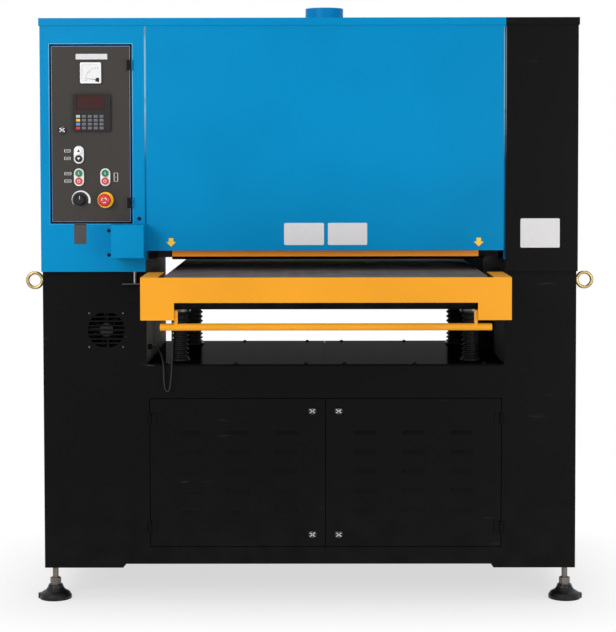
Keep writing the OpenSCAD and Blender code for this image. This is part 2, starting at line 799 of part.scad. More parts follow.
module trip_bar() color(yellow) {
    reach = hood_z - 20;
    bar_x(trip_r, [open_l + past / 2, open_r - past / 2], trip_y, trip_z);
    block([xc - work_w / 2, xc + work_w / 2], [trip_y - sheet / 2, trip_y + sheet / 2], [reach, trip_z]);
    block([xc - work_w / 2, xc + work_w / 2], [trip_y, trip_y + 20], [reach, reach + sheet]);
}

// Drive
module main_motor() color([0.2, 0.3, 0.38]) difference() {
    box_from = motor_x[0] + motor_box_in;
    box_on = motor_axis_z + motor_r;
    union() {
        bar_x(motor_r, motor_x, 0, motor_axis_z);
        for (a = [0 : motor_fin_a : 359]) translate([0, 0, motor_axis_z]) rotate([a, 0, 0])
            block([motor_x[0] + 20, motor_x[1] - motor_cowl_l - 10], [motor_r - 3, motor_r + motor_fin_h],
                [-motor_fin_t / 2, motor_fin_t / 2]);
        bar_x(motor_r + motor_cowl_t, [motor_x[1] - motor_cowl_l, motor_x[1]], 0, motor_axis_z);
        block([box_from, box_from + motor_box[0]], [-motor_box[1] / 2, motor_box[1] / 2],
            [box_on - 10, box_on + motor_box[2]]);
        for (x = motor_feet)
            block([x, x + motor_foot[0]], [-motor_foot[1] / 2, motor_foot[1] / 2],
                [floor_z, motor_axis_z - motor_foot[2]]);
    }
    bar_x(motor_shaft_r + fit, [motor_x[0] - past, motor_x[0] + motor_bore_l], 0, motor_axis_z);
}

module motor_pulley() color(steel) turned_x(0, motor_axis_z) {
    span(motor_shaft_r, [pulley_x[0] - 6, motor_x[0] + motor_bore_l - past]);
    pulley_outline(motor_pulley_r);
}

module drive_belts() color(black) for (i = [0 : groove_n - 1]) {
    x0 = pulley_x[0] + (i + 0.5) * groove_pitch + 2 - groove_w / 2 + slip;
    prism_x([x0, x0 + groove_w - 2 * slip]) difference() {
        belt_outline(motor_pulley_r, drum_pulley_r, motor_axis_z, drum_z);
        belt_outline(motor_pulley_r - groove_d + slip, drum_pulley_r - groove_d + slip, motor_axis_z, drum_z);
    }
}

// Partition in the control cabinet with its switchgear, in front of the belt drive
module wiring_plate() color([0.75, 0.75, 0.72]) {
    y = -motor_pulley_r - 80;
    block([x_l + sheet, open_l - sheet], [y, y + sheet], [seam_z + sheet, roof_z - 120]);
    for (row = [0, 1]) translate([panel_x, y, panel_z + (120 + row * 150) * rise]) {
        block([-din_l / 2, din_l / 2], [-din_t, 0], [-din_w / 2, din_w / 2]);
        for (i = [0 : switch_n - 1]) translate([(i - (switch_n - 1) / 2) * switch_pitch, 0, 0])
            block([-switch_w / 2, switch_w / 2], [-switch_d, -din_t], [-switch_h / 2, switch_h / 2]);
    }
    block([panel_x - 100, panel_x + 100], [y - 45, y], [panel_z + 20, panel_z + 55]);
    block([panel_x - 90, panel_x + 20], [y - 80, y], [panel_z + 360 * rise, panel_z + 450 * rise]);
}

// Table lift
module lift_gearboxes() color([0.3, 0.3, 0.32]) {
    lift_drive();
    limit_post();
}

module lift_drive() difference() {
    union() {
        for (p = screw_at) {
            block([p[0] - gearbox_w / 2, p[0] + gearbox_w / 2], [p[1] - gearbox_w / 2, p[1] + gearbox_w / 2],
                [under_deck - gearbox_h, under_deck]);
            bar_z(screw_r + 12, p[0], p[1], [sprocket_z, under_deck - gearbox_h]);
            bar_z(sprocket_r, p[0], p[1], [sprocket_z, sprocket_z + sprocket_t]);
        }
        bar_x(38, [xc + screw_x - gearbox_w / 2 - 150, xc + screw_x - gearbox_w / 2], screw_y[0],
            under_deck - gearbox_h / 2);
    }
    for (p = screw_at) bar_z(screw_r + fit, p[0], p[1], [sprocket_z - past, under_deck + past]);
}

// Post with the limit switches of the table lift, beside the table on the deck
module limit_post() {
    block([open_r - limit_w, open_r], limit_y, [deck_z, deck_z + limit_h]);
    for (z = [0.35, 0.75])
        bar_y(limit_lever_r, open_r - limit_w / 2, [limit_y[0] - limit_lever_l, limit_y[0]],
            deck_z + z * limit_h);
}

module lift_chain() color([0.4, 0.4, 0.42])
    translate([xc, (screw_y[0] + screw_y[1]) / 2, sprocket_z]) linear_extrude(sprocket_t) difference() {
        chain_outline(sprocket_r + slip + chain_w);
        chain_outline(sprocket_r + slip);
    }

module chain_outline(r) {
    round_rect(2 * screw_x + 2 * r, screw_y[1] - screw_y[0] + 2 * r, r);
}

module lift_screws() color(steel) for (p = screw_at) {
    bar_z(screw_r, p[0], p[1], [under_deck - gearbox_h - 55, flange_z + past]);
    bar_z(34, p[0], p[1], [flange_z, cross_z[0]]);
}

// Ribbed bellows: the ribs lie closer together towards the deck
function rib_z(i) = deck_z + 6 + (flange_z - slip - deck_z - 12) * pow(i / (2 * rib_n), 1.15);
function rib_r(i, r) = r - (i % 2 == 0 ? rib_d : 0);

module screw_bellows() color(black) for (p = screw_at)
    translate([p[0], p[1], 0]) bellows(p[1] < 0 ? slim_r : bellows_r);

module bellows(r) {
    wall = 2.5;
    foot = rib_r(0, r) - wall;
    last = 2 * rib_n;
    outer = [for (i = [0 : last]) [rib_r(i, r), rib_z(i)]];
    inner = [for (i = [last : -1 : 0]) [rib_r(i, r) - wall, rib_z(i)]];
    rotate_extrude() {
        polygon(concat(outer, inner));
        translate([foot, deck_z]) square([r + 3 - foot, 6]);
        translate([foot, rib_z(last)]) square([r + 3 - foot, flange_z - slip - rib_z(last)]);
    }
}

// Feed table
module table_bed() color([0.3, 0.3, 0.32]) {
    difference() {
        union() {
            for (s = [-1, 1]) {
                x = s < 0 ? [xc - rail_out, xc - rail_in] : [xc + rail_in, xc + rail_out];
                block(x, [sheet - table_y, table_y - sheet], [rail_low, rail_top]);
                for (y = screw_y) block(x, [y - 60, y + 60], [cross_z[0], rail_low + past]);
            }
        }
        for (y = [-roller_y, roller_y])
            bar_x(table_shaft_r + fit, [xc - rail_out - past, xc + rail_out + past], y, roller_z);
    }
    block([xc - work_w / 2 + 1, xc + work_w / 2 - 1], [60 - roller_y, roller_y - 60],
        [bed_top - 12, bed_top]);
    for (y = cross_y)
        block([xc - rail_in, xc + rail_in], [y - 30, y + 30], [rail_low + 30, bed_top - 22]);
    for (y = cross_y)
        block([xc - work_w / 2 + 20, xc + work_w / 2 - 20], [y - 30, y + 30], [bed_top - 22, bed_top - 12]);
    for (y = screw_y) block([xc - rail_in, xc + rail_in], [y - 40, y + 40], cross_z);
    block(switch_x, switch_y, switch_z);
}

module cover_plate(half, legs) {
    polygon([
        [xc - half, belt_top - leg_h], [xc - half + legs, belt_top - leg_h],
        [xc - half + legs, belt_top - cover_h],
        [xc + half - legs, belt_top - cover_h], [xc + half - legs, belt_top - leg_h],
        [xc + half, belt_top - leg_h], [xc + half, belt_top - 1], [xc - half, belt_top - 1]]);
}

module end_covers() color(yellow) {
    prism_y([-table_y, sheet - table_y]) cover_plate(cap_out, leg_w);
    for (s = [-1, 1]) translate([xc, 0, 0]) mirror([s < 0 ? 1 : 0, 0, 0]) {
        block([cap_in, cap_out], [-table_y, cap_d - table_y], [belt_top - 1 - sheet, belt_top - 1]);
        block([cap_out - sheet, cap_out], [-table_y, cap_d - table_y], [belt_top - leg_h, belt_top - 1]);
        block([cap_out - leg_w, cap_out - leg_w + sheet], [-table_y, pivot_y + 15],
            [belt_top - leg_h, pivot_z + 10]);
        bar_x(pivot_r, [cap_out - leg_w - hanger_t - past, cap_out - leg_w + sheet], pivot_y, pivot_z);
    }
    prism_y([table_y - sheet, table_y]) cover_plate(rail_out, leg_w - 48);
}

module table_loop(r) {
    translate([-roller_y, roller_z]) circle(r = r);
    translate([roller_y, roller_z]) circle(r = r);
    translate([-roller_y, roller_z - r]) square([2 * roller_y, 2 * r]);
}

module feed_belt() color([0.16, 0.16, 0.17])
    prism_x([xc - work_w / 2, xc + work_w / 2]) difference() {
        table_loop(roller_r + slip + feed_belt_t);
        table_loop(roller_r + slip);
    }

module table_roller(y, right_end) color(steel) turned_x(y, roller_z) {
    span(roller_r, [xc - work_w / 2 - 2, xc + work_w / 2 + 2]);
    span(table_shaft_r, [xc - rail_out, right_end]);
}

module drive_roller() table_roller(roller_y, xc + rail_out + drive_end);

module idler_roller() table_roller(-roller_y, xc + rail_out);

module feed_motor() color([0.2, 0.3, 0.38]) difference() {
    x = xc + rail_out;
    body_x = x + feed_gear_l;
    cowl_x = body_x + feed_motor_l;
    union() {
        block([x, body_x], [roller_y - feed_gear_half, roller_y + feed_gear_half], feed_gear_z);
        bar_x(feed_motor_r, [body_x, cowl_x], roller_y, roller_z - feed_motor_drop);
        bar_x(feed_motor_r + feed_cowl_t, [cowl_x, cowl_x + feed_cowl_l], roller_y,
            roller_z - feed_motor_drop);
    }
    bar_x(table_shaft_r + fit, [x - past, x + drive_end + past], roller_y, roller_z);
}

module stop_bar() color(yellow) {
    bar_x(stop_r, [xc - stop_half, xc + stop_half], pivot_y, stop_z);
    inner = cap_out - leg_w - slip;
    difference() {
        for (x = [[xc - inner, xc - inner + hanger_t], [xc + inner - hanger_t, xc + inner]])
            block(x, [pivot_y - 9, pivot_y + 9], [stop_z, pivot_z + 9]);
        bar_x(pivot_r + fit, [xc - cap_out, xc + cap_out], pivot_y, pivot_z);
    }
}

module sensor_rod() color(steel) {
    block([bracket_out, xc - rail_out], [rod_y - 12, rod_y + 10], [bracket_z[1] - sheet, bracket_z[1]]);
    block([bracket_out, xc - rail_out], [rod_y + 10 - sheet, rod_y + 10], bracket_z);
    bar_z(rod_r, rod_x, rod_y, [bracket_z[1] - past, seam_z + 112]);
}

// Cable swept along its route as one tube
function unit(v) = v / norm(v);
function heading(i) = unit(cable_path[min(i + 1, len(cable_path) - 1)] - cable_path[max(i - 1, 0)]);
function ring(i, n) = let (
    d = i == 0 ? [1, 0, 0] : i == len(cable_path) - 1 ? [0, 0, 1] : heading(i),
    u = unit(cross(d, [0, 1, 0])),
    v = cross(d, u))
    [for (k = [0 : n - 1]) cable_path[i] + cable_r * (cos(360 * k / n) * u + sin(360 * k / n) * v)];

module switch_cable() color(black) {
    n = 8;
    last = len(cable_path) - 1;
    points = [for (i = [0 : last]) each ring(i, n)];
    sides = [for (i = [0 : last - 1]) for (k = [0 : n - 1])
        let (a = i * n + k, b = i * n + (k + 1) % n) each [[a, a + n, b + n], [a, b + n, b]]];
    start = [for (k = [1 : n - 2]) [0, k, k + 1]];
    end = [for (k = [1 : n - 2]) [last * n, last * n + k + 1, last * n + k]];
    polyhedron(points, concat(sides, start, end));
}

// Doors
module base_door() {
    difference() {
        pan_door(base_door_w, base_door_h);
        translate([base_door_w / 2, 0, base_door_h / 2]) each_louvre(louvre_cols, louvre_rows) louvre_slot();
        for (z = latch_z)
            bar_y(latch_shank_r + fit, base_door_w - latch_inset, [-past, 2 * sheet],
                z - base_open_z[0] - door_gap);
    }
    translate([base_door_w / 2, 0, base_door_h / 2]) each_louvre(louvre_cols, louvre_rows) louvre_hood();
}

module left_door() color(black)
    translate([base_open_x[0] + door_gap, y_f, base_open_z[0] + door_gap]) base_door();

module right_door() color(black)
    translate([base_open_x[1] - door_gap, y_f, base_open_z[0] + door_gap]) mirror([1, 0, 0]) base_door();

// A quarter-turn latch: head in front of the door, shank, and a tongue that points up when open
module latch(x, z, front, tongue_y, reach) color(steel) translate([x, 0, z]) {
    difference() {
        turned_y(0, 0) polygon([[0, front - 6], [latch_r - 3, front - 6], [latch_r, front - 3],
            [latch_r, front - slip], [0, front - slip]]);
        block([-8, 8], [front - 7, front - 4], [-1.5, 1.5]);
    }
    bar_y(latch_shank_r, 0, [front - past, tongue_y + past], 0);
    block([-tongue_w / 2, tongue_w / 2], [tongue_y, tongue_y + tongue_t], [-8, reach]);
}

module base_latch(i, j) latch(latch_x[i], latch_z[j], y_f, post_y[1] + past, latch_inset - 4);

module left_latch_low() base_latch(0, 0);

module left_latch_high() base_latch(0, 1);

module right_latch_low() base_latch(1, 0);

module right_latch_high() base_latch(1, 1);

module belt_door() color(black)
    translate([x_r, belt_open_y[1] - door_gap, belt_open_z[0] + door_gap]) rotate([0, 0, 90])
        mirror([1, 0, 0]) {
            pan_door(belt_door_w, belt_door_h);
            translate([belt_door_w - handle_in, -handle_out, (belt_door_h - handle_h) / 2]) {
                cube([handle_w, handle_bar, handle_h]);
                for (z = [0, handle_h - handle_bar])
                    translate([0, 0, z]) cube([handle_w, handle_out + sheet / 2, handle_bar]);
            }
        }

// Control door with the holes for what it carries
module control_door() color(panel_grey) difference() {
    translate([panel_open_x[1] - door_gap, y_u, panel_z]) mirror([1, 0, 0]) pan_door(panel_w, panel_h);
    for (p = [lift_pair_at, feed_pair_at, drum_pair_at]) for (s = [-1, 1])
        bar_y(button_r + slip, p[0], [y_u - past, y_u + 2 * sheet], p[1] + s * button_step);
    bar_y(estop_shank_r + slip, estop_at[0], [y_u - past, y_u + 2 * sheet], estop_at[1]);
    bar_y(dial_shank_r + fit, dial_at[0], [y_u - past, y_u + 2 * sheet], dial_at[1]);
    bar_y(latch_shank_r + fit, lock_at[0], [y_u - past, y_u + 2 * sheet], lock_at[1]);
}

module control_lock() latch(lock_at[0], lock_at[1], y_u, y_u + return_d + past, 44);

module ammeter() color([0.92, 0.92, 0.93]) translate([ammeter_at[0], 0, ammeter_at[1]]) difference() {
    prism_y([y_u - 10, y_u]) round_rect(ammeter_w, ammeter_w, 4);
    prism_y([y_u - 11, y_u - 7]) round_rect(ammeter_w - 10, ammeter_w - 10, 3);
}

// Readout: bezel, sunk display window and raised keys
module readout() color([0.16, 0.17, 0.2]) translate([readout_at[0], 0, readout_at[1]]) {
    key = 12;
    difference() {
        prism_y([y_u - 9, y_u]) round_rect(readout_w, readout_w, 5);
        translate([-4, 0, 31]) prism_y([y_u - 10, y_u - 6]) round_rect(88, 42, 2);
    }
    for (i = [0 : 4]) for (j = [0 : 3])
        block([i * 18 - 48, i * 18 - 48 + key], [y_u - 10.5, y_u - 8], [j * 12 - 51, j * 12 - 51 + 8]);
}

module button_bezels() color([0.92, 0.92, 0.93]) {
    for (p = [lift_pair_at, feed_pair_at, drum_pair_at]) translate([p[0], 0, p[1]])
        prism_y([y_u - bezel_t, y_u]) difference() {
            round_rect(2 * bezel_half, 2 * (bezel_half + button_step), bezel_half - 0.5);
            for (s = [-1, 1]) translate([0, s * button_step]) circle(r = button_r + slip);
        }
    translate([estop_at[0], 0, estop_at[1]]) difference() {
        union() {
            bar_y(collar_r, 0, [y_u - collar_foot_t, y_u], 0);
            bar_y(collar_r - 7.5, 0, [y_u - collar_t, y_u], 0);
        }
        bar_y(estop_shank_r + slip, 0, [y_u - collar_t - past, y_u + past], 0);
    }
}

// A push button: cap in front of its bezel and a shank with a stop behind the door
module push_button(p, s, c) color(c) translate([0, 0, s * button_step]) {
    bar_y(button_r, p[0], [y_u - bezel_t - 5, y_u + sheet + slip + past], p[1]);
    bar_y(button_r + 1, p[0], [y_u + sheet + slip, y_u + sheet + 5], p[1]);
}

module raise_button() push_button(lift_pair_at, 1, [0.92, 0.92, 0.93]);

module lower_button() push_button(lift_pair_at, -1, black);

module feed_start_button() push_button(feed_pair_at, 1, [0.15, 0.45, 0.33]);

module feed_stop_button() push_button(feed_pair_at, -1, [0.8, 0.22, 0.22]);

module drum_start_button() push_button(drum_pair_at, 1, [0.15, 0.45, 0.33]);

module drum_stop_button() push_button(drum_pair_at, -1, [0.8, 0.22, 0.22]);

module estop_button() color([0.8, 0.15, 0.15]) {
    head = y_u - collar_t - estop_travel_gap;
    turned_y(estop_at[0], estop_at[1])
        polygon([[0, head - 16], [10, head - 15], [16, head - 12], [19.5, head - 6], [19.5, head - 2],
            [16, head], [0, head]]);
    bar_y(estop_shank_r, estop_at[0], [head - past, y_u + sheet + slip + past], estop_at[1]);
    bar_y(estop_shank_r + 2, estop_at[0], [y_u + sheet + slip, y_u + sheet + 8], estop_at[1]);
}

module speed_dial() color(black) {
    difference() {
        turned_y(dial_at[0], dial_at[1])
            polygon([[0, y_u - 20], [13, y_u - 20], [14.5, y_u - 18], [15, y_u - 7],
            [18, y_u - 5], [18, y_u - slip], [0, y_u - slip]]);
        block([dial_at[0] - 1, dial_at[0] + 1], [y_u - 21, y_u - 19], [dial_at[1] + 2, dial_at[1] + 14]);
    }
    bar_y(dial_shank_r, dial_at[0], [y_u - past, y_u + sheet + 12], dial_at[1]);
}

left_column();
right_column();
base_cabinet();
deck_plates();
control_cabinet();
right_cabinet();
hood_front();
hood_roof();
dust_port();
sensor_box();
lifting_eyes();
levelling_feet();
fan_frame();
fan_rotor();
head_beam();
head_bearings();
main_motor();
motor_pulley();
drive_belts();
abrasive_belt();
contact_drum();
tension_roller();
roller_yoke();
front_pressure_roller();
rear_pressure_roller();
trip_bar();
wiring_plate();
lift_gearboxes();
lift_chain();
lift_screws();
screw_bellows();
table_bed();
end_covers();
feed_belt();
drive_roller();
idler_roller();
feed_motor();
stop_bar();
sensor_rod();
switch_cable();
left_door();
right_door();
left_latch_high();
left_latch_low();
right_latch_high();
right_latch_low();
belt_door();
control_door();
control_lock();
ammeter();
readout();
button_bezels();
raise_button();
lower_button();
feed_start_button();
feed_stop_button();
drum_start_button();
drum_stop_button();
estop_button();
speed_dial();
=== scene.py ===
import math
from itertools import accumulate

import bpy
import numpy as np
from mathutils import Euler, Matrix, Vector


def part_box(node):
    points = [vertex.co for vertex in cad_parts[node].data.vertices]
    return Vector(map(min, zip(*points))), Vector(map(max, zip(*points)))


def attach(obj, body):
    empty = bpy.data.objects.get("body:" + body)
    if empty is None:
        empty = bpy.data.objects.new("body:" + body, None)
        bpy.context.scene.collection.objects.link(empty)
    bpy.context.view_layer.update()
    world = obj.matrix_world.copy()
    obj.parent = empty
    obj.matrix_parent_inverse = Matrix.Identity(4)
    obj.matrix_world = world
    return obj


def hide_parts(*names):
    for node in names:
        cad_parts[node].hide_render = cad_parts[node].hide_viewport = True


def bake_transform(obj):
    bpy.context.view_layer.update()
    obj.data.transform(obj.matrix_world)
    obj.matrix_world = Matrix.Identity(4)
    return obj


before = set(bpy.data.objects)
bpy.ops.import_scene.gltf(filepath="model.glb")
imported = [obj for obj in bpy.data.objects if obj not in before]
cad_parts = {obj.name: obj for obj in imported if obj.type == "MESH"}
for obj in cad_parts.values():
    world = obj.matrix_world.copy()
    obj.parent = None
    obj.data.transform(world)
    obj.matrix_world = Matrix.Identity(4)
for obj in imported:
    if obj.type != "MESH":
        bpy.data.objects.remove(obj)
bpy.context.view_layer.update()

# All sizes below are in millimetres in the part's frame: X right, Y away from the camera, Z up.
MM = 0.001
# Sides and middle of the opening that the table passes through.
OPEN_L, OPEN_R, XC = -505.5, 604.5, 49.5
# Front of the base, back of the machine, front of the upper cabinets and hood.
Y_F, Y_B, Y_U = -350.0, 350.0, -378.0
DECK_Z, HOOD_Z, ROOF_Z = 739.0, 1094.0, 1809.0
BELT_TOP, UNDER_TABLE = 1032.1, 895.2
# Lift screws: distance from the middle, then depth and bellows radius of the front and the rear pair.
LIFT_X, LIFT_PAIRS = 460, ((-238, 28.0), (260, 41.0))
# Middle of the control panel and its lower end, the axis of its hinges, and the edges of the control door.
PANEL_X, PANEL_Z, HINGE_X = -671.0, 1180.0, -545.5
DOOR_L, DOOR_R, DOOR_LOW, DOOR_TOP = -795.5, -546.5, 1180.0, 1727.0
# Middle of the readout, of the ammeter, of the speed dial and of the emergency stop, as (x, z).
READOUT = PANEL_X + 4, PANEL_Z + 339
METER = PANEL_X + 1, PANEL_Z + 461
DIAL = PANEL_X - 34, PANEL_Z + 71
STOP = PANEL_X + 44, PANEL_Z + 71
# Fronts of the readout's keys, the ammeter's dial, the push buttons, the speed dial and the emergency stop.
KEY_Y, METER_Y, CAP_Y, DIAL_Y, STOP_Y = Y_U - 9.4, Y_U - 7, Y_U - 13, Y_U - 19.2, Y_U - 43
# Axis of the sensor rod, lower and upper side of its bracket.
ROD_X, BRACKET_LOW, BRACKET_TOP = OPEN_L - 33, 988.9, 993.0
# Front of the wiring plate, top of the feet's pads.
WIRING_Y, PAD_TOP = -189.0, 44.0
# Heights between which the folded edges' painted highlight fades in, from dark below to pale above.
DULL_Z, LIT_Z = 1372.0, 1540.0
# The way a screw or a turned piece stands: out of the front, out of the back, upwards.
FORWARD, BACKWARD, UPWARD = (0, -1, 0), (0, 1, 0), (0, 0, 1)
# Knots of the switch cable, each a place and a direction, and its radius.
CABLE = np.array([
    ((OPEN_L + 14, Y_F + 40, DECK_Z + 51), (60, 0, 0)),
    ((OPEN_L + 52, Y_F - 8, DECK_Z - 3), (8, -25, -90)),
    ((OPEN_L + 66, Y_F - 17, DECK_Z - 83), (45, 0, 0)),
    ((OPEN_L + 83, Y_F - 44, UNDER_TABLE + 9.6), (0, -20, 200)),
])
CABLE_RADIUS = 2.5

# Camera: slightly above the table, nearly level, with enough shift to keep the columns upright.
camera = bpy.data.objects.new("camera", bpy.data.cameras.new("camera"))
bpy.context.collection.objects.link(camera)
bpy.context.scene.camera = camera
camera.data.sensor_width = 36
camera.data.lens = 99.93
camera.data.shift_y = -0.134
camera.data.clip_end = 100
bpy.context.scene.view_settings.view_transform = "Standard"
pitch, heading, roll = math.radians(87.6), 0.0046, -0.0017
camera.matrix_world = (
    Matrix.Translation((0.021, -5.7795, 1.3796))
    @ Euler((pitch, 0, heading)).to_matrix().to_4x4()
    @ Matrix.Rotation(roll, 4, "Z")
)


# Shader maths
class Val:
    """A shader socket that adds, multiplies and compares like a number."""

    def __init__(self, nodes, socket):
        self.nodes, self.socket = nodes, socket

    def math(self, operation, a, b=0.0, clamp=False):
        """Adds a Math node."""
        return self.nodes.node("ShaderNodeMath", {"operation": operation, "use_clamp": clamp}, i0=a, i1=b)

    def __add__(self, other):
        return self.math("ADD", self, other)

    def __sub__(self, other):
        return self.math("SUBTRACT", self, other)

    def __rsub__(self, other):
        return self.math("SUBTRACT", other, self)

    def __mul__(self, other):
        return self.math("MULTIPLY", self, other)

    def __gt__(self, other):
        return self.math("GREATER_THAN", self, other)

    def __lt__(self, other):
        return self.math("LESS_THAN", self, other)

    def __abs__(self):
        return self.math("ABSOLUTE", self)

    __radd__, __rmul__ = __add__, __mul__

    def sin(self):
        return self.math("SINE", self)

    def root(self):
        return self.math("SQRT", self)

    def beyond(self, limit):
        """How far the value lies above limit, 0 below it."""
        return self.math("MAXIMUM", self - limit, 0.0)

    def rise(self, low, high):
        """0 below low, 1 above high, straight between."""
        return self.math("MULTIPLY", self - low, 1 / (high - low), clamp=True)

    def within(self, centre, half):
        """1 where the value is inside centre plus or minus half."""
        return abs(self - centre) < half

    def output(self, name):
        """Another output of the same node."""
        return Val(self.nodes, self.socket.node.outputs[name])


class Nodes:
    """A node tree, with the one way to add a node to it."""

    def __init__(self, tree):
        self.tree = tree

    def put(self, socket, value):
        """Links a value to a socket, or sets a constant on it."""
        if isinstance(value, Val):
            self.tree.links.new(value.socket, socket)
        else:
            socket.default_value = value

    def node(self, kind, settings=None, out=0, **inputs):
        """Adds a node: first its settings, then its sockets by name, or by number as i0, i1 and so on."""
        made = self.tree.nodes.new(kind)
        for key, value in (settings or {}).items():
            setattr(made, key, value)
        for key, value in inputs.items():
            numbered = key[0] == "i" and key[1:].isdigit()
            self.put(made.inputs[int(key[1:]) if numbered else key.replace("_", " ")], value)
        return Val(self, made.outputs[out])

    def seen(self):
        """1 for what the camera sees, straight or by way of gloss or glass, 0 for light on its way."""
        path = self.node("ShaderNodeLightPath", out="Is Camera Ray")
        return path + path.output("Is Glossy Ray") + path.output("Is Transmission Ray")


class Shader(Nodes):
    """One material. x, y and z are the piece's own Object coordinates in millimetres."""

    def __init__(self, name, **constants):
        self.material = bpy.data.materials.new(name)
        self.material.use_nodes = True
        super().__init__(self.material.node_tree)
        self.bsdf = self.tree.nodes["Principled BSDF"]
        self.place = self.node("ShaderNodeTexCoord", out="Object")
        for key, value in constants.items():
            self.set(key.replace("_", " "), value)

    def along(self, axis):
        """One Object coordinate in millimetres."""
        return self.node("ShaderNodeSeparateXYZ", out=axis, Vector=self.place) * 1000.0

    x = property(lambda self: self.along("X"))
    y = property(lambda self: self.along("Y"))
    z = property(lambda self: self.along("Z"))

    def noise(self, per_m, detail=2.0):
        """Cloudy noise, per_m lumps to the metre."""
        return self.node("ShaderNodeTexNoise", Vector=self.place, Scale=per_m, Detail=detail)

    def peel(self):
        """Orange peel of a sprayed coat."""
        return self.noise(420)

    def wander(self, middle, per_m, spread):
        """A value that drifts about its middle: middle + spread (noise - 1/2)."""
        return middle + (self.noise(per_m) - 0.5) * spread

    def cells(self, per_m):
        """Distance to the nearest grain, per_m grains to the metre."""
        return self.node("ShaderNodeTexVoronoi", Vector=self.place, Scale=per_m)

    def stretched(self, sx, sy, sz):
        """Noise drawn out along the axes with small factors, for brushing and streaks."""
        at = self.node("ShaderNodeVectorMath", {"operation": "MULTIPLY"}, i0=self.place, i1=(sx, sy, sz))
        return self.node("ShaderNodeTexNoise", Vector=at, Scale=1.0, Detail=4.0)

    def mix(self, a, b, t):
        """Colour a where t is 0, b where it is 1. The Mix node's colours are its sockets 6 and 7."""
        return self.node("ShaderNodeMix", {"data_type": "RGBA"}, out=2, i0=t, i6=a, i7=b)

    def set(self, name, value):
        """Feeds one of the main shader's own sockets."""
        self.put(self.bsdf.inputs[name], value)

    def relief(self, height, depth_mm, soft_edge_mm=0.0):
        """Bump of that depth, over edges rounded in the shading by soft_edge_mm."""
        inputs = {"Height": height, "Distance": depth_mm * MM, "Strength": 1.0}
        if soft_edge_mm:
            inputs["Normal"] = self.node("ShaderNodeBevel", {"samples": 4}, Radius=soft_edge_mm * MM)
        self.set("Normal", self.node("ShaderNodeBump", **inputs))
        return self.material


def rgb(r, g, b):
    """An sRGB colour from 0 to 255 as linear RGBA."""
    lin = [(c / 255 / 12.92) if c <= 10 else ((c / 255 + 0.055) / 1.055) ** 2.4 for c in (r, g, b)]
    return (*lin, 1.0)


def shade(colour, share, lift=0.0):
    """A colour times a share, lifted evenly, for the darker or lighter places of a finish."""
    return tuple(min(1.0, c * share + lift) for c in colour[:3]) + (1.0,)


# Finishes
def paint(name, colour, rough, peel, wear=0.0, dust=0.015, shine=0.5):
    """Sprayed enamel: fine orange peel, slow change of tone, faint dust low down, scuffs where it wears."""
    s = Shader(name, Specular_IOR_Level=shine)
    slow = s.noise(2.3)
    speck = s.noise(900, 1.0)
    tone = s.mix(shade(colour, 0.86), colour, slow.rise(0.25, 0.6))
    sheen = rough + (slow - 0.5) * 0.1 + (speck - 0.5) * 0.05
    if dust:
        low = (1.0 - s.z.rise(60, 420)) * s.noise(14, 4.0).rise(0.35, 0.75) * dust
        tone = s.mix(tone, rgb(150, 145, 138), low)
        sheen = sheen + low * 0.3
    if wear:
        scuff = s.stretched(9, 9, 60).rise(0.66, 0.72) * s.noise(5).rise(0.5, 0.62) * wear
        tone = s.mix(tone, rgb(120, 120, 122), scuff)
    s.set("Base Color", tone)
    s.set("Roughness", sheen)
    return s.relief(s.peel(), peel, 1.4)


def metal(name, colour, rough=0.25, along=(200, 200, 200), depth=0.03, edge=0.6):
    """Bare metal with tool marks drawn out along the axes with small factors, and faint stains."""
    s = Shader(name, Metallic=1.0)
    marks = s.stretched(*along)
    stain = s.noise(30, 3.0)
    s.set("Base Color", s.mix(shade(colour, 0.72), (*colour, 1.0), stain.rise(0.3, 0.62)))
    s.set("Roughness", rough + (marks - 0.5) * 0.14 + (stain - 0.5) * 0.12)
    return s.relief(marks, depth, edge)


def plastic(name, colour, rough=0.35, grain=0.05, tone=0.94, shine=0.4):
    """Moulded plastic: fine spark-eroded grain and a slight change of sheen."""
    s = Shader(name, Specular_IOR_Level=shine)
    s.set("Base Color", s.mix(shade(colour, tone), colour, s.noise(40).rise(0.3, 0.6)))
    s.set("Roughness", s.wander(rough, 90, 0.12))
    return s.relief(s.cells(1400), grain, 0.5)


def rubber(name, colour, rough, shine, weave=0.0):
    """Dull rubber, with a woven face where weave is the depth in millimetres."""
    s = Shader(name, Specular_IOR_Level=shine)
    cloud = s.noise(9, 3.0)
    if weave:
        thread = (s.x * 2.1).sin() * (s.y * 2.1).sin()
        height = thread * 0.5 + s.noise(700) * 0.6
    else:
        height = s.noise(600, 3.0)
    streak = s.stretched(40, 0.8, 40).rise(0.45, 0.8) * 0.35
    worn = cloud.rise(0.35, 0.75) * 0.6 + streak
    s.set("Base Color", s.mix(colour, shade(colour, 1.7, 0.006), worn))
    s.set("Roughness", rough + (cloud - 0.5) * 0.2)
    return s.relief(height, weave or 0.08, 0.8)


def grit_material():
    """Closed coat of abrasive grains on a brown cloth back."""
    s = Shader("abrasive grit")
    grain = s.cells(900)
    s.set("Base Color", s.mix(rgb(98, 52, 34), rgb(168, 104, 70), grain.rise(0.1, 0.7)))
    s.set("Roughness", 0.75 + (grain - 0.5) * 0.2)
    return s.relief(grain, 0.4)


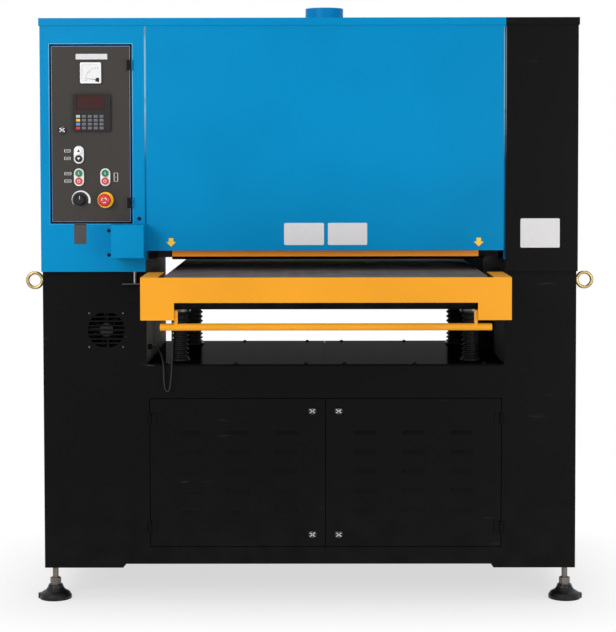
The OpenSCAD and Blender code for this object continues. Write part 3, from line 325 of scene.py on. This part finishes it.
def readout_material():
    """Readout face: dark bezel, a red-tinted window, a column of coloured keys and rows of grey ones."""
    s = Shader("readout face", Specular_IOR_Level=0.15)
    across, up = s.x - READOUT[0], s.z - READOUT[1]
    window = across.within(-4, 43.5) * up.within(31, 20.5)
    column = across.within(-42, 6.2)
    front = s.y < KEY_Y
    key = s.mix(rgb(92, 95, 100), rgb(114, 117, 122), s.noise(90))
    key_colours = [rgb(200, 56, 60), rgb(104, 142, 204), rgb(222, 182, 44), rgb(186, 186, 186)]
    for row, colour in enumerate(key_colours):
        key = s.mix(key, colour, column * up.within(-47 + 12 * row, 5))
    bezel = s.mix(rgb(33, 30, 31), rgb(40, 37, 38), s.noise(60))
    s.set("Base Color", s.mix(s.mix(bezel, rgb(62, 34, 34), window), key, front))
    s.set("Roughness", 0.42 - window * 0.32 + front * 0.05)
    return s.relief(s.cells(1400), 0.04, 0.4)


def rod_material():
    """Ground rod: bright, with a painted dark reflection down its middle and its right side painted darker as
    shade.
    """
    s = Shader("sensor rod", Metallic=1.0)
    across = s.x - ROD_X
    # Painted shade on the right side of the rod, then a painted dark reflection down its middle.
    tone = s.mix((0.52, 0.51, 0.50, 1), (0.24, 0.20, 0.18, 1), across > 0.9)
    s.set("Base Color", s.mix(tone, (0.06, 0.05, 0.04, 1), across.within(-0.4, 1.3)))
    s.set("Roughness", s.wander(0.22, 60, 0.1))
    return s.relief(s.stretched(*LENGTHWISE), 0.02, 0.3)


def inner_wall_material():
    """Walls of the table's opening and of the control door's recess: left of the middle and above the deck
    painted pale and mottled, painted light for the bright surroundings they reflect, black enamel elsewhere.
    """
    s = Shader("inner wall", Specular_IOR_Level=0.03)
    # Painted light: a pale mottled grey stands for the light that the black wall reflects.
    pale_painted_light = s.mix(rgb(74, 71, 68), rgb(90, 87, 84), s.noise(6, 3.0).rise(0.3, 0.7))
    pale = s.z.rise(DECK_Z - 2, DECK_Z + 30) * (1.0 - s.x.rise(XC - 10, XC + 10))
    s.set("Base Color", s.mix(BLACK, pale_painted_light, pale))
    s.set("Roughness", s.wander(0.62, 40, 0.1))
    return s.relief(s.peel(), 0.1, 1.4)


def hinge_material():
    """Control door hinge: black barrel, the leaves beside it painted over with the door and the cabinet."""
    s = Shader("door hinge", Specular_IOR_Level=0.1)
    leaf = s.mix(GREY, rgb(10, 10, 11), s.x > HINGE_X - 15.0)
    s.set("Base Color", s.mix(leaf, BLUE, s.x > HINGE_X + 2.0))
    s.set("Roughness", s.wander(0.4, 60, 0.1))
    return s.relief(s.peel(), 0.08, 0.6)


def edge_material(name, low, high):
    """Folded sheet edge with a painted highlight: painted pale high up and darker lower down."""
    s = Shader(name, Specular_IOR_Level=0.1)
    # Painted highlight: the colour goes from low to high as the edge rises.
    tone = s.mix(low, high, s.z.rise(DULL_Z, LIT_Z))
    s.set("Base Color", s.mix(tone, low, s.noise(20).rise(0.55, 0.8)))
    s.set("Roughness", s.wander(0.4, 300, 0.1))
    return s.relief(s.peel(), 0.05)


def floor_material():
    """Pale floor that shows white to the camera and keeps the shadow close to the machine's foot."""
    s = Shader("floor", Specular_IOR_Level=0.1, Roughness=0.7)
    s.set("Base Color", s.mix((0.80, 0.80, 0.80, 1), (0.84, 0.84, 0.84, 1), s.noise(3, 3.0)))
    half_x, half_y, reach, near = 760.0, 330.0, 420.0, 0.65
    out_x, out_y = abs(s.x).beyond(half_x), abs(s.y).beyond(half_y)
    far = (out_x * out_x + out_y * out_y).root().rise(0, reach) * (1 - near) + near
    glow = s.node("ShaderNodeEmission", Color=WHITE, Strength=1.0)
    both = s.node("ShaderNodeMixShader", i0=far * s.seen(), i1=Val(s, s.bsdf.outputs[0]), i2=glow)
    s.put(s.tree.nodes["Material Output"].inputs["Surface"], both)
    return s.material


BLUE, YELLOW = rgb(0, 133, 188), rgb(232, 156, 32)
BLACK, GREY, WHITE = rgb(13, 13, 14), rgb(60, 57, 54), (1, 1, 1, 1)
# Tool marks: how fine they are along x, y and z, to the metre.
EVEN, LENGTHWISE = (60, 60, 60), (900, 900, 6)
FINISH = {
    "blue": paint("blue enamel", BLUE, 0.34, peel=0.08, dust=0.0, shine=0.06),
    "black": paint("black enamel", BLACK, 0.38, peel=0.10, wear=0.06, shine=0.05),
    "deck": paint("deck enamel", rgb(17, 17, 18), 0.10, peel=0.01, wear=0.25, shine=0.0001),
    "yellow": paint("yellow enamel", YELLOW, 0.38, peel=0.08, dust=0.0, shine=0.18),
    # Trip bar: the yellow enamel painted brighter and more orange, painted light that makes up for the hood's
    # shade on it.
    "orange": paint("trip bar enamel painted light", rgb(252, 152, 22), 0.38, peel=0.08, dust=0.0, shine=0.3),
    "panel": paint("panel coat", GREY, 0.5, peel=0.2, dust=0.0, shine=0.12),
    "frame": paint("frame enamel", rgb(34, 35, 37), 0.6, peel=0.2, shine=0.1),
    # Painted highlight: a pale grey for the top edge of the sensor rod's bracket, where light from above
    # catches it.
    "bracket": paint("bracket edge painted highlight", rgb(74, 73, 76), 0.4, peel=0.05, dust=0.0, shine=0.3),
    "iron": paint("cast iron", rgb(48, 52, 58), 0.55, peel=0.5),
    "motor": paint("motor enamel", rgb(62, 82, 98), 0.42, peel=0.2),
    "turned": metal("turned steel", (0.60, 0.60, 0.62), 0.28, along=(700, 8, 8)),
    "zinc": metal("yellow zinc", (0.50, 0.38, 0.17), 0.30, along=EVEN, depth=0.02),
    "screw": metal("blackened screw", (0.022, 0.022, 0.024), 0.4, depth=0.02, edge=0.3),
    "bright": metal("bright screw", (0.66, 0.66, 0.68), depth=0.02, edge=0.3),
    "latch": metal("latch head", (0.075, 0.075, 0.08), 0.3, along=EVEN, depth=0.01, edge=0.4),
    "foot steel": metal("foot steel", (0.17, 0.15, 0.135), 0.45, along=(200, 200, 40), edge=0.4),
    "greased": metal("greased steel", (0.13, 0.13, 0.125), 0.36, along=LENGTHWISE),
    "chain": metal("oiled chain", (0.22, 0.21, 0.20), 0.4, along=(50, 50, 50)),
    "rubber": rubber("black rubber", rgb(20, 20, 21), 0.5, shine=0.3),
    "belt": rubber("feed belt", rgb(88, 83, 81), 0.7, shine=0.01, weave=0.14),
    # Painted shade: a darker copy of the belt's rubber for its lower run under the table.
    "belt under": rubber("belt underside", rgb(20, 19, 19), 0.8, shine=0.0),
    "black plastic": plastic("black plastic", rgb(17, 16, 16), 0.4, shine=0.25),
    "white plastic": plastic("white plastic", rgb(236, 236, 238), 0.3),
    "green plastic": plastic("green plastic", rgb(30, 120, 84), 0.25),
    "red plastic": plastic("red plastic", rgb(205, 52, 50), 0.28),
    "yellow plastic": plastic("yellow plastic", rgb(246, 190, 30)),
    "white print": plastic("white print", rgb(226, 226, 227), 0.5, grain=0.01, tone=0.985, shine=0.15),
    "label": plastic("blank label", rgb(212, 211, 213), 0.5, grain=0.01, tone=0.97, shine=0.1),
    "yellow print": plastic("yellow print", rgb(246, 200, 40), 0.5, grain=0.01),
    "grey print": plastic("grey plate", rgb(176, 178, 180), 0.4, grain=0.01),
    "dark plate": plastic("dark plate", rgb(58, 56, 56), 0.4, grain=0.01),
    "cream": plastic("switchgear", rgb(196, 196, 186), 0.5),
    "hinge": hinge_material(),
    "inner wall": inner_wall_material(),
    "rod": rod_material(),
    "grit": grit_material(),
    "readout": readout_material(),
    # Painted highlights on folded edges and joints: each goes from a dark colour low down to a pale one high
    # up.
    "hood edge": edge_material("hood edge", rgb(0, 100, 148), rgb(128, 170, 190)),
    "column edge": edge_material("column edge", rgb(16, 17, 19), rgb(110, 113, 119)),
    "dark joint": edge_material("dark joint", rgb(6, 52, 78), rgb(44, 76, 98)),
    "door light": edge_material("door light", rgb(100, 142, 196), rgb(136, 162, 212)),
    "rim edge": edge_material("rim edge", rgb(64, 156, 202), rgb(124, 184, 206)),
    "floor": floor_material(),
}


# Finishes of the CAD nodes
def dress(node_name, main, **others):
    """Gives a CAD node its main material, and others where their test of face centres, in millimetres, holds.
    An underscore in a material's keyword stands for a space."""
    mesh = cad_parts[node_name].data
    mesh.materials.clear()
    mesh.materials.append(FINISH[main])
    centres = np.empty(len(mesh.polygons) * 3, np.float32)
    mesh.polygons.foreach_get("center", centres)
    x, y, z = centres.reshape(-1, 3).T * 1000
    index = np.zeros(len(mesh.polygons), np.int32)
    for number, (material, test) in enumerate(others.items(), 1):
        mesh.materials.append(FINISH[material.replace("_", " ")])
        index[test(x, y, z)] = number
    mesh.polygons.foreach_set("material_index", index)
    mesh.update()


LATCHES = ["left_latch_high", "left_latch_low", "right_latch_high", "right_latch_low", "control_lock"]
ONE_FINISH = {
    "blue": ["hood_front", "hood_roof", "dust_port", "sensor_box"],
    "black": ["base_cabinet", "left_door", "right_door", "belt_door", "table_bed"],
    "deck": ["deck_plates"],
    "yellow": ["end_covers", "stop_bar"],
    # The trip bar takes the brighter enamel, painted light under the hood.
    "orange": ["trip_bar"],
    "frame": ["head_beam", "roller_yoke", "feed_motor"],
    "iron": ["head_bearings"],
    "motor": ["main_motor"],
    "greased": ["lift_screws"],
    "turned": ["motor_pulley", "drive_roller", "idler_roller", "tension_roller"],
    "latch": LATCHES,
    "zinc": ["lifting_eyes"],
    "chain": ["lift_chain"],
    "rubber": ["contact_drum", "front_pressure_roller", "rear_pressure_roller", "drive_belts",
               "screw_bellows", "switch_cable"],
    "grit": ["abrasive_belt"],
    "black plastic": ["fan_frame", "fan_rotor", "lower_button", "speed_dial"],
    "white plastic": ["ammeter", "raise_button"],
    "green plastic": ["feed_start_button", "drum_start_button"],
    "red plastic": ["feed_stop_button", "drum_stop_button", "estop_button"],
    "readout": ["readout"],
}
for material, names in ONE_FINISH.items():
    for name in names:
        dress(name, material)


def left_wall(x, y, z):
    """Left wall of the table's opening."""
    return abs(x - OPEN_L) < 1


def right_wall(x, y, z):
    """Right wall of the table's opening."""
    return abs(x - OPEN_R) < 1


def cabinet_inside(x, y, z):
    """The control door's recess in the cabinet, 30 mm deep, and the wall beside the hood."""
    across = (x > DOOR_L - 5.5) & (x < DOOR_R + 5.5)
    recess = across & (z > DOOR_LOW - 6) & (z < DOOR_TOP + 6) & (y > Y_U + 0.5) & (y < Y_U + 30)
    return recess | left_wall(x, y, z)


def proud(y):
    """Forms that stand out of the front of the upper cabinets."""
    return y < Y_U - 0.5


dress("left_column", "black", inner_wall=left_wall)
dress("right_column", "black", inner_wall=right_wall)
dress("right_cabinet", "black", inner_wall=right_wall)
dress("control_door", "panel", hinge=lambda x, y, z: proud(y) & (x > HINGE_X - 30))
dress("control_cabinet", "blue", hinge=lambda x, y, z: proud(y) & (abs(x - HINGE_X) < 20),
      inner_wall=cabinet_inside)
dress("lift_gearboxes", "frame", black=lambda x, y, z: z > DECK_Z)
dress("button_bezels", "white plastic",
      yellow_plastic=lambda x, y, z: (x > STOP[0] - 29) & (z < STOP[1] + 29))
dress("wiring_plate", "grey print", cream=lambda x, y, z: y < WIRING_Y)
dress("levelling_feet", "black plastic", foot_steel=lambda x, y, z: z > PAD_TOP)
# The bracket's top edge takes the painted highlight; below it the rod's holder is black.
dress("sensor_rod", "rod", black=lambda x, y, z: z < BRACKET_LOW,
      bracket=lambda x, y, z: (z > BRACKET_LOW) & (z < BRACKET_TOP))
# The belt's lower run takes the darker copy, painted shade under the table.
dress("feed_belt", "belt", belt_under=lambda x, y, z: z < BELT_TOP - 8)


# Building pieces
def circle(n):
    """Cosine and sine of n even steps round a circle, as columns."""
    t = (np.arange(n) * 2 * math.pi / n)[:, None]
    return np.cos(t), np.sin(t)


def square_to(u, d):
    """The part of u that is square to d, at length 1."""
    u = u - d * np.dot(u, d)
    return u / np.linalg.norm(u)


class Shape:
    """Gathers solids, in millimetres, into one mesh."""

    def __init__(self):
        self.points, self.faces, self.count = [], [], 0

    def add(self, points, *faces):
        """Takes in points, and arrays of faces that number the corners among these points."""
        self.faces += [self.count + block for block in faces]
        self.points.append(points)
        self.count += len(points)

    def skin(self, rows, ring=False):
        """Four-cornered faces between each row of points and the next. A row is a closed loop, anticlockwise
        about the way that the rows advance. The end rows are filled, or joined to each other in a ring."""
        n, k = rows.shape[:2]
        number = np.arange(n * k).reshape(n, k)
        low = number if ring else number[:-1]
        high = np.roll(number, -1, 0)[:len(low)]
        sides = np.stack([low, np.roll(low, -1, 1), np.roll(high, -1, 1), high], -1).reshape(-1, 4)
        ends = [] if ring else [number[:1, ::-1], number[-1:]]
        self.add(rows.reshape(-1, 3), sides, *ends)

    def turned(self, profile, at, axis, n=24, ring=False):
        """Turns a profile of (radius, height) pairs, listed upwards outside, round an axis through at:
        p = at + h*axis + r*(u cos t + v sin t). A ring's profile is a closed loop, any other ends in flat
        caps."""
        axis = np.asarray(axis, float)
        u = np.cross(axis, (0, 0, 1) if abs(axis[2]) < 0.9 else (1, 0, 0))
        u /= np.linalg.norm(u)
        cos, sin = circle(n)
        radius, height = np.asarray(profile, float).T[:, :, None, None]
        self.skin(at + height * axis + radius * (cos * u + sin * np.cross(axis, u)), ring)

    def slab(self, outline, depth, face_y):
        """An outline of (x, z) points, anticlockwise seen from the front, carried forward from face_y
        by depth."""
        x, z = np.asarray(outline, float).T
        y = np.array([[face_y], [face_y - depth]])
        self.skin(np.stack(np.broadcast_arrays(x, y, z), -1))

    def band(self, centre, degrees, inner, outer, depth, face_y, slope=0.0):
        """A flat band along an arc: at angle a, p = (cx + r cos a, face + slope*r, cz + r sin a) for r inner
        and outer, and the same two points depth in front of them."""
        a = np.radians(degrees)[:, None]
        r = np.stack(np.broadcast_arrays(inner, inner, outer, outer), -1)
        y = face_y - depth * np.array([0, 1, 1, 0]) + slope * r
        self.skin(np.stack([centre[0] + r * np.cos(a), y, centre[1] + r * np.sin(a)], -1))

    def bead(self, x, width, low, high, height=0.8):
        """Upright rounded edge: half an ellipse, (x + w/2 cos t, y - h sin t), carried from low to high."""
        t = np.linspace(math.pi, 0, 9)
        rim, crown = x + width / 2 * np.cos(t), Y_U + 0.1 - height * np.sin(t)
        self.skin(np.stack(np.broadcast_arrays(rim, crown, [[low], [high]]), -1))

    def tube(self, line, radius, n=12):
        """A round skin along a line: p = c + r*(u cos t + v sin t), with u carried from ring to ring and made
        square to the line at each."""
        heading = np.gradient(line, axis=0)
        heading /= np.linalg.norm(heading, axis=1, keepdims=True)
        start = np.cross(heading[0], (0.3, 0.9, 0.2))
        u = np.array(list(accumulate(heading, square_to, initial=start)))[1:, None]
        cos, sin = circle(n)
        self.skin(line[:, None] + radius * (cos * u + sin * np.cross(heading[:, None], u)))

    def make(self, name, material, body, smooth=True):
        """One mesh in place, riding on a CAD body unless it has none."""
        sizes = np.concatenate([np.full(len(block), block.shape[1], np.int32) for block in self.faces])
        corners = np.concatenate([block.ravel() for block in self.faces]).astype(np.int32)
        places = (np.concatenate(self.points) * MM).astype(np.float32)
        mesh = bpy.data.meshes.new(name)
        mesh.vertices.add(len(places))
        mesh.loops.add(len(corners))
        mesh.polygons.add(len(sizes))
        mesh.vertices.foreach_set("co", places.ravel())
        mesh.loops.foreach_set("vertex_index", corners)
        mesh.polygons.foreach_set("loop_start", np.cumsum(sizes, dtype=np.int32) - sizes)
        mesh.polygons.foreach_set("use_smooth", np.full(len(sizes), smooth))
        mesh.materials.append(FINISH[material])
        mesh.update(calc_edges=True)
        made = bpy.data.objects.new(name, mesh)
        bpy.context.collection.objects.link(made)
        if body:
            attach(made, body)
        return made


def rounded(x, z, w, h, r, n=6):
    """Rectangle outline with round corners: quarter arcs (cx + r cos t, cz + r sin t)."""
    t = math.pi / 2 * (np.arange(4)[:, None] + np.linspace(0, 1, n + 1))
    side, up = np.array([[1], [-1], [-1], [1]]), np.array([[1], [1], [-1], [-1]])
    across = x + side * (w / 2 - r) + r * np.cos(t)
    rise = z + up * (h / 2 - r) + r * np.sin(t)
    return np.stack([across.ravel(), rise.ravel()], -1)


def ray(centre, degrees, corners):
    """Corners (r, w) laid along a ray: p = centre + r (cos a, sin a) + w (-sin a, cos a)."""
    a = math.radians(degrees)
    turn = np.array([(math.cos(a), math.sin(a)), (-math.sin(a), math.cos(a))])
    return np.asarray(centre) + np.asarray(corners, float) @ turn


def mirrored(outline, centre, side, up):
    """An outline mirrored about centre: p = centre + (side*x, up*z), with side and up 1 or -1. The points of
    an outline mirrored once are listed backwards, to stay anticlockwise."""
    placed = np.asarray(centre) + np.asarray(outline, float) * (side, up)
    return placed if side * up > 0 else placed[::-1]


def plates(name, material, body, depth, face_y, outlines):
    """Flat plates in one piece: each outline carried forward from face_y by depth."""
    shape = Shape()
    for outline in outlines:
        shape.slab(outline, depth, face_y)
    shape.make(name, material, body, False)


def screws(name, places, radius, material, body, axis=FORWARD):
    """Domed screw heads with a sunk socket: one profile, in shares of the radius, turned at each place."""
    profile = radius * np.array([(1, 0), (1, 0.25), (0.86, 0.52), (0.62, 0.68), (0.46, 0.68), (0.42, 0.25)])
    profile[0, 1] = -0.1
    shape = Shape()
    for at in places:
        shape.turned(profile, at, axis, 16)
    shape.make(name, material, body)


def bellows():
    """Folded ribs, r = mean + 4.4 (2/pi) asin(0.96 sin(rib angle)), wider apart towards the top, closing into
    collars and turned round each lift screw."""
    low, top, ribs, bore = DECK_Z + 6, UNDER_TABLE - 6, 10, 17
    t = np.linspace(0, 1, ribs * 12 + 1)
    fold = 2 / math.pi * np.arcsin(0.96 * np.sin(2 * math.pi * (ribs * t - 0.25)))
    height = low + (top - low) * t ** 1.15
    shape = Shape()
    for x in (XC - LIFT_X, XC + LIFT_X):
        for y, r in LIFT_PAIRS:
            foot = [(bore, low - 5.9), (r + 2.5, low - 5.9), (r + 3, low - 5), (r + 3, low - 1), (r - 5, low)]
            ribbed = np.stack([r - 4 + 4.4 * fold, height], -1)
            neck = [(r - 5, top + 0.5), (r + 3, top + 1.5)]
            collar = [(r + 3, top + 5.2), (r + 2, top + 6), (bore, top + 6)]
            shape.turned(np.concatenate([foot, ribbed, neck, collar]), (x, y, 0), UPWARD, 48, ring=True)
    made = shape.make("bellows", "rubber", None)
    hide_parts("screw_bellows")
    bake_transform(made)


def smooth_line(knots, steps):
    """Cubic from knot a to b: a (1+2t)(1-t)^2 + a' t(1-t)^2 + b t^2(3-2t) + b' t^2(t-1)."""
    t = (np.arange(steps) + 1)[:, None] / steps
    place, way = knots[:, 0, None], knots[:, 1, None]
    line = place[:-1] * (1 + 2 * t) * (1 - t) ** 2 + way[:-1] * t * (1 - t) ** 2
    line = line + place[1:] * t * t * (3 - 2 * t) + way[1:] * t * t * (t - 1)
    return np.concatenate([place[0], line.reshape(-1, 3)])


def switch_cable():
    """Switch cable: a round tube along the smooth curves that join its knots."""
    line = smooth_line(CABLE, 24)
    shape = Shape()
    shape.tube(line, CABLE_RADIUS)
    made = shape.make("switch_cable", "rubber", None)
    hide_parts("switch_cable")
    length = float(np.linalg.norm(np.diff(line, axis=0), axis=1).sum()) * MM
    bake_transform(made)


bellows()
switch_cable()


# Control panel
def meter():
    """Ammeter: square dial, eleven scale bars and the needle laid along rays from the pivot, turned hub."""
    x, z = METER
    plates("meter_face", "white print", "control_door", 0.4, METER_Y, [rounded(x, z, 53, 53, 3)])
    pivot, dial_y = (x + 22, z - 22), METER_Y - 0.4
    shape = Shape()
    for i in range(11):
        inner = 36 if i % 5 else 33
        shape.slab(ray(pivot, 180 - 9 * i, [(inner, -0.5), (40, -0.5), (40, 0.5), (inner, 0.5)]), 0.2, dial_y)
    shape.slab(ray(pivot, 172, [(0, -0.7), (35, -0.35), (35, 0.35), (0, 0.7)]), 0.3, dial_y - 0.5)
    shape.turned([(7.5, 0), (7, 1.2), (5, 2.0), (0.4, 2.19)], (pivot[0], dial_y, pivot[1]), FORWARD)
    shape.make("meter_marks", "black plastic", "control_door", False)


# Plain frames printed beside the push buttons: place on the panel, width and height.
PRINTED = ((-73, 222, 17, 8), (-73, 199, 17, 8), (-72, 152, 19, 8), (-72, 129, 19, 8), (76, 141, 11, 26))


def printed_frame(x, z, w, h, line=0.9):
    """Outlines of a plain printed frame: two level bars, two upright ones twice as broad, one bar inside."""
    level = [rounded(x, z + side * h / 2, w + line, line, 0.3, 2) for side in (1, -1)]
    upright = [rounded(x + side * w / 2, z, 2 * line, h, 0.3, 2) for side in (-1, 1)]
    return level + upright + [rounded(x, z, w - 8, 1.2, 0.3, 2)]


def panel_print():
    """White marks: frames beside the buttons, and a band round the speed dial that widens clockwise."""
    shape = Shape()
    for x, z, w, h in PRINTED:
        for outline in printed_frame(PANEL_X + x, PANEL_Z + z, w, h):
            shape.slab(outline, 0.2, Y_U)
    along = np.linspace(1, 0, 41)
    shape.band(DIAL, 215 - 235 * along, 25.0, 25.8 + 6.2 * along, 0.25, Y_U)
    shape.make("panel_print", "white print", "control_door", False)
    pointer = rounded(DIAL[0], DIAL[1] + 8, 1.6, 11, 0.5, 3)
    plates("dial_pointer", "white print", "speed_dial", 0.3, DIAL_Y, [pointer])


def button_marks():
    """Marks on the push buttons: a bar for start, a turned ring for stop, triangles for the table lift."""
    for name, x, z in (("feed", PANEL_X - 37, PANEL_Z + 141), ("drum", PANEL_X + 44, PANEL_Z + 141)):
        bar = rounded(x, z + 12, 1.8, 9, 0.4, 2)
        plates(name + "_start_mark", "white print", name + "_start_button", 0.2, CAP_Y, [bar])
        shape = Shape()
        shape.turned([(4.8, 0), (4.8, 0.2), (3.2, 0.2), (3.2, 0)], (x, CAP_Y, z - 12), FORWARD, ring=True)
        shape.make(name + "_stop_mark", "white print", name + "_stop_button", False)
    triangle = [(-5, -3.5), (5, -3.5), (0, 5)]
    for name, material, up in (("raise", "black plastic", 1), ("lower", "white print", -1)):
        centre = PANEL_X - 37, PANEL_Z + 210 + 12 * up
        plates(name + "_mark", material, name + "_button", 0.2, CAP_Y, [mirrored(triangle, centre, 1, up)])


def stop_arrows():
    """Three turning arrows on the emergency stop: bands along its cone, y = face + 0.1 r, with heads."""
    step = np.arange(13)
    half = np.where(step < 9, 1.0, (13 - step) * 0.65)
    shape = Shape()
    for start in (0, 120, 240):
        shape.band(STOP, start + 6 * step, 7.6 - half, 7.6 + half, 0.15, STOP_Y, 0.1)
    shape.make("stop_arrows", "white print", "estop_button", False)


plates("blank_strip", "label", "control_door", 0.6, Y_U, [rounded(PANEL_X + 3, PANEL_Z + 511, 97, 17, 2)])
meter()
panel_print()
button_marks()
stop_arrows()
screws("meter_screw", [(METER[0] + 24, Y_U - 10, METER[1] - 27)], 2.2, "screw", "control_door")

# Blank plates and direction marks on the hood and cabinets
LABELS = ((-16, 1145, 123, 68), (118, 1145, 121, 68), (711, 1147, 121, 90))
plates("blank_labels", "label", "frame", 0.4, Y_U, [rounded(*label, 4) for label in LABELS])
plates("blank_plate", "dark plate", "frame", 0.5, Y_U, [rounded(-706, 1147, 38, 65, 3)])
ARROW = np.array([(0, 0), (15, 15), (7, 15), (7, 27), (-7, 27), (-7, 15), (-15, 15)])
plates("down_marks", "yellow print", "frame", 0.3, Y_U, [ARROW + (x, 1106) for x in (-426, 522)])


# Folded edges, with painted highlights and painted shade
def border(name, material, inset, width, depth, body):
    """Four thin strips inside the control door's edges moved in by inset, standing depth before the front."""
    x0, x1, z0, z1 = DOOR_L + inset, DOOR_R - inset, DOOR_LOW + inset, DOOR_TOP - inset
    xm, zm, between = (x0 + x1) / 2, (z0 + z1) / 2, x1 - x0 - 2 * width
    upright = [rounded(x, zm, width, z1 - z0, 0.3, 2) for x in (x0 + width / 2, x1 - width / 2)]
    level = [rounded(xm, z, between, width, 0.3, 2) for z in (z0 + width / 2, z1 - width / 2)]
    plates(name, material, body, depth, Y_U, upright + level)


# Where the hood meets the cabinets: piece, material, middle and width of each rounded edge. Each edge carries
# a painted highlight high up.
HOOD_EDGES = (
    ("left_hood_edge", "hood edge", OPEN_L + 1.5, 5.5),
    ("right_hood_edge", "hood edge", OPEN_R - 4.5, 2.6),
    ("right_joint", "dark joint", OPEN_R - 1.6, 3.0),
    ("right_column_edge", "column edge", OPEN_R + 1.4, 2.8),
)
for name, material, x, width in HOOD_EDGES:
    edge = Shape()
    edge.bead(x, width, HOOD_Z - 27, ROOF_Z - 26)
    edge.make(name, material, "frame")
# door_border is a black strip painted as the shade in the gap round the control door; door_light and
# opening_rim are pale strips painted as highlights on the door's and the opening's edges.
border("door_border", "black", 0.0, 3.6, 0.3, "control_door")
border("door_light", "door light", 3.6, 1.1, 0.35, "control_door")
border("opening_rim", "rim edge", -4.6, 1.4, 0.5, "frame")


# Latches and screws
def latch_face(name):
    """Quarter-turn latch: a turned disc with two corners painted dark as the shade in its socket, divided by
    four raised ribs. One corner and one rib, laid along a ray, are mirrored into their places."""
    low, high = (np.array(c) * 1000 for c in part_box(name))
    boss = 13
    cx, cz, front = (low[0] + high[0]) / 2, low[2] + boss, low[1]
    disc = Shape()
    disc.turned([(9.8, -0.1), (9.8, 0.0), (8.6, 0.5)], (cx, front, cz), FORWARD, 32)
    disc.make(name + "_disc", "latch", name)
    corner = [(2.4, 0), (8.2, -4.3), (9.2, 0), (8.2, 4.3)]
    slope = math.degrees(math.atan2(5.4, 8.2))
    rib = ray((1.0, 0.7), slope, [(0, -1.0), (8.6, -1.2), (8.6, 1.2), (0, 1.0)])
    sunk = [mirrored(corner, (cx, cz), side, 1) for side in (-1, 1)]
    raised = [mirrored(rib, (cx, cz), side, up) for side in (-1, 1) for up in (-1, 1)]
    # The dark corners are painted shade, thin plates standing in for the shadow in the latch's socket.
    plates(name + "_recess", "screw", name, 0.15, front - 0.5, sunk)
    plates(name + "_ribs", "bright", name, 1.1, front - 0.4, raised)


for name in LATCHES:
    latch_face(name)

# Rows of the rear panel's screws, middle and ring of the dust port, middle and half screw square of the fan.
REAR_LOW, REAR_TOP = HOOD_Z + 20, ROOF_Z - 45
PORT_Y, PORT_RING = 40, 72
FAN_X, FAN_Z, FAN_HALF = -631.5, 846, 52.5
screws("box_screws", [(-618, Y_U, z) for z in (1081, 1156)], 5.5, "screw", "frame")
screws("hood_screws", [(-523.5, Y_U, 1193)], 6, "screw", "frame")
rear = [(x, Y_B, REAR_LOW + 133 * i) for x in (OPEN_L + 16, OPEN_R - 16) for i in range(6)]
rear += [(XC + d, Y_B, z) for d in (-330, 0, 330) for z in (REAR_LOW, REAR_TOP)]
screws("rear_screws", rear, 5, "screw", "frame", BACKWARD)
turns = [math.radians(30 + 60 * i) for i in range(6)]
port = [(XC + PORT_RING * math.cos(a), PORT_Y + PORT_RING * math.sin(a), ROOF_Z + 3) for a in turns]
screws("port_screws", port, 4, "bright", "frame", UPWARD)
fan = [(FAN_X + side * FAN_HALF, Y_F, FAN_Z + up * FAN_HALF) for side in (-1, 1) for up in (-1, 1)]
screws("fan_screws", fan, 3.2, "foot steel", "frame")
deck_x = [OPEN_L + 60, OPEN_L + 277, XC - 60, XC + 60, OPEN_R - 277, OPEN_R - 60]
screws("deck_screws", [(x, y, DECK_Z) for x in deck_x for y in (-335, 335)], 6, "screw", "frame", UPWARD)


# Floor, light and background
def studio_floor():
    """One level face, a little below the feet."""
    shape = Shape()
    corners = [(-14000, -9000, -0.5), (14000, -9000, -0.5), (14000, 12000, -0.5), (-14000, 12000, -0.5)]
    shape.add(np.array(corners), np.arange(4)[None])
    floor = shape.make("floor", "floor", None)


def studio_world():
    """Even white light at half strength, and full white where the background itself is seen."""
    world = bpy.data.worlds.new("studio")
    bpy.context.scene.world = world
    world.use_nodes = True
    sky = Nodes(world.node_tree)
    sky.tree.nodes.remove(sky.tree.nodes["Background"])
    lighting, backdrop = (sky.node("ShaderNodeBackground", Color=WHITE, Strength=k) for k in (0.5, 1.0))
    both = sky.node("ShaderNodeMixShader", i0=sky.seen(), i1=lighting, i2=backdrop)
    sky.put(sky.tree.nodes["World Output"].inputs["Surface"], both)


def lamp(name, place, aim, width, height, watts):
    """Soft rectangular lamp, in metres, turned towards aim."""
    data = bpy.data.lights.new(name, "AREA")
    data.shape, data.size, data.size_y, data.energy = "RECTANGLE", width, height, watts
    made = bpy.data.objects.new(name, data)
    bpy.context.collection.objects.link(made)
    made.rotation_mode = "QUATERNION"
    made.location = place
    made.rotation_quaternion = (Vector(place) - Vector(aim)).normalized().to_track_quat("Z", "Y")


studio_floor()
studio_world()
lamp("key", (-2.7, -4.4, 2.7), (0, 0, 1.0), 2.2, 2.2, 101)
lamp("fill", (2.9, -4.6, 1.1), (0, 0, 0.9), 2.4, 2.0, 76)
lamp("top", (0.0, 0.2, 4.4), (0, 0, 1.0), 3.0, 2.4, 64)
lamp("rear", (0.5, 4.2, 3.0), (0, 0, 1.0), 2.6, 2.0, 64)
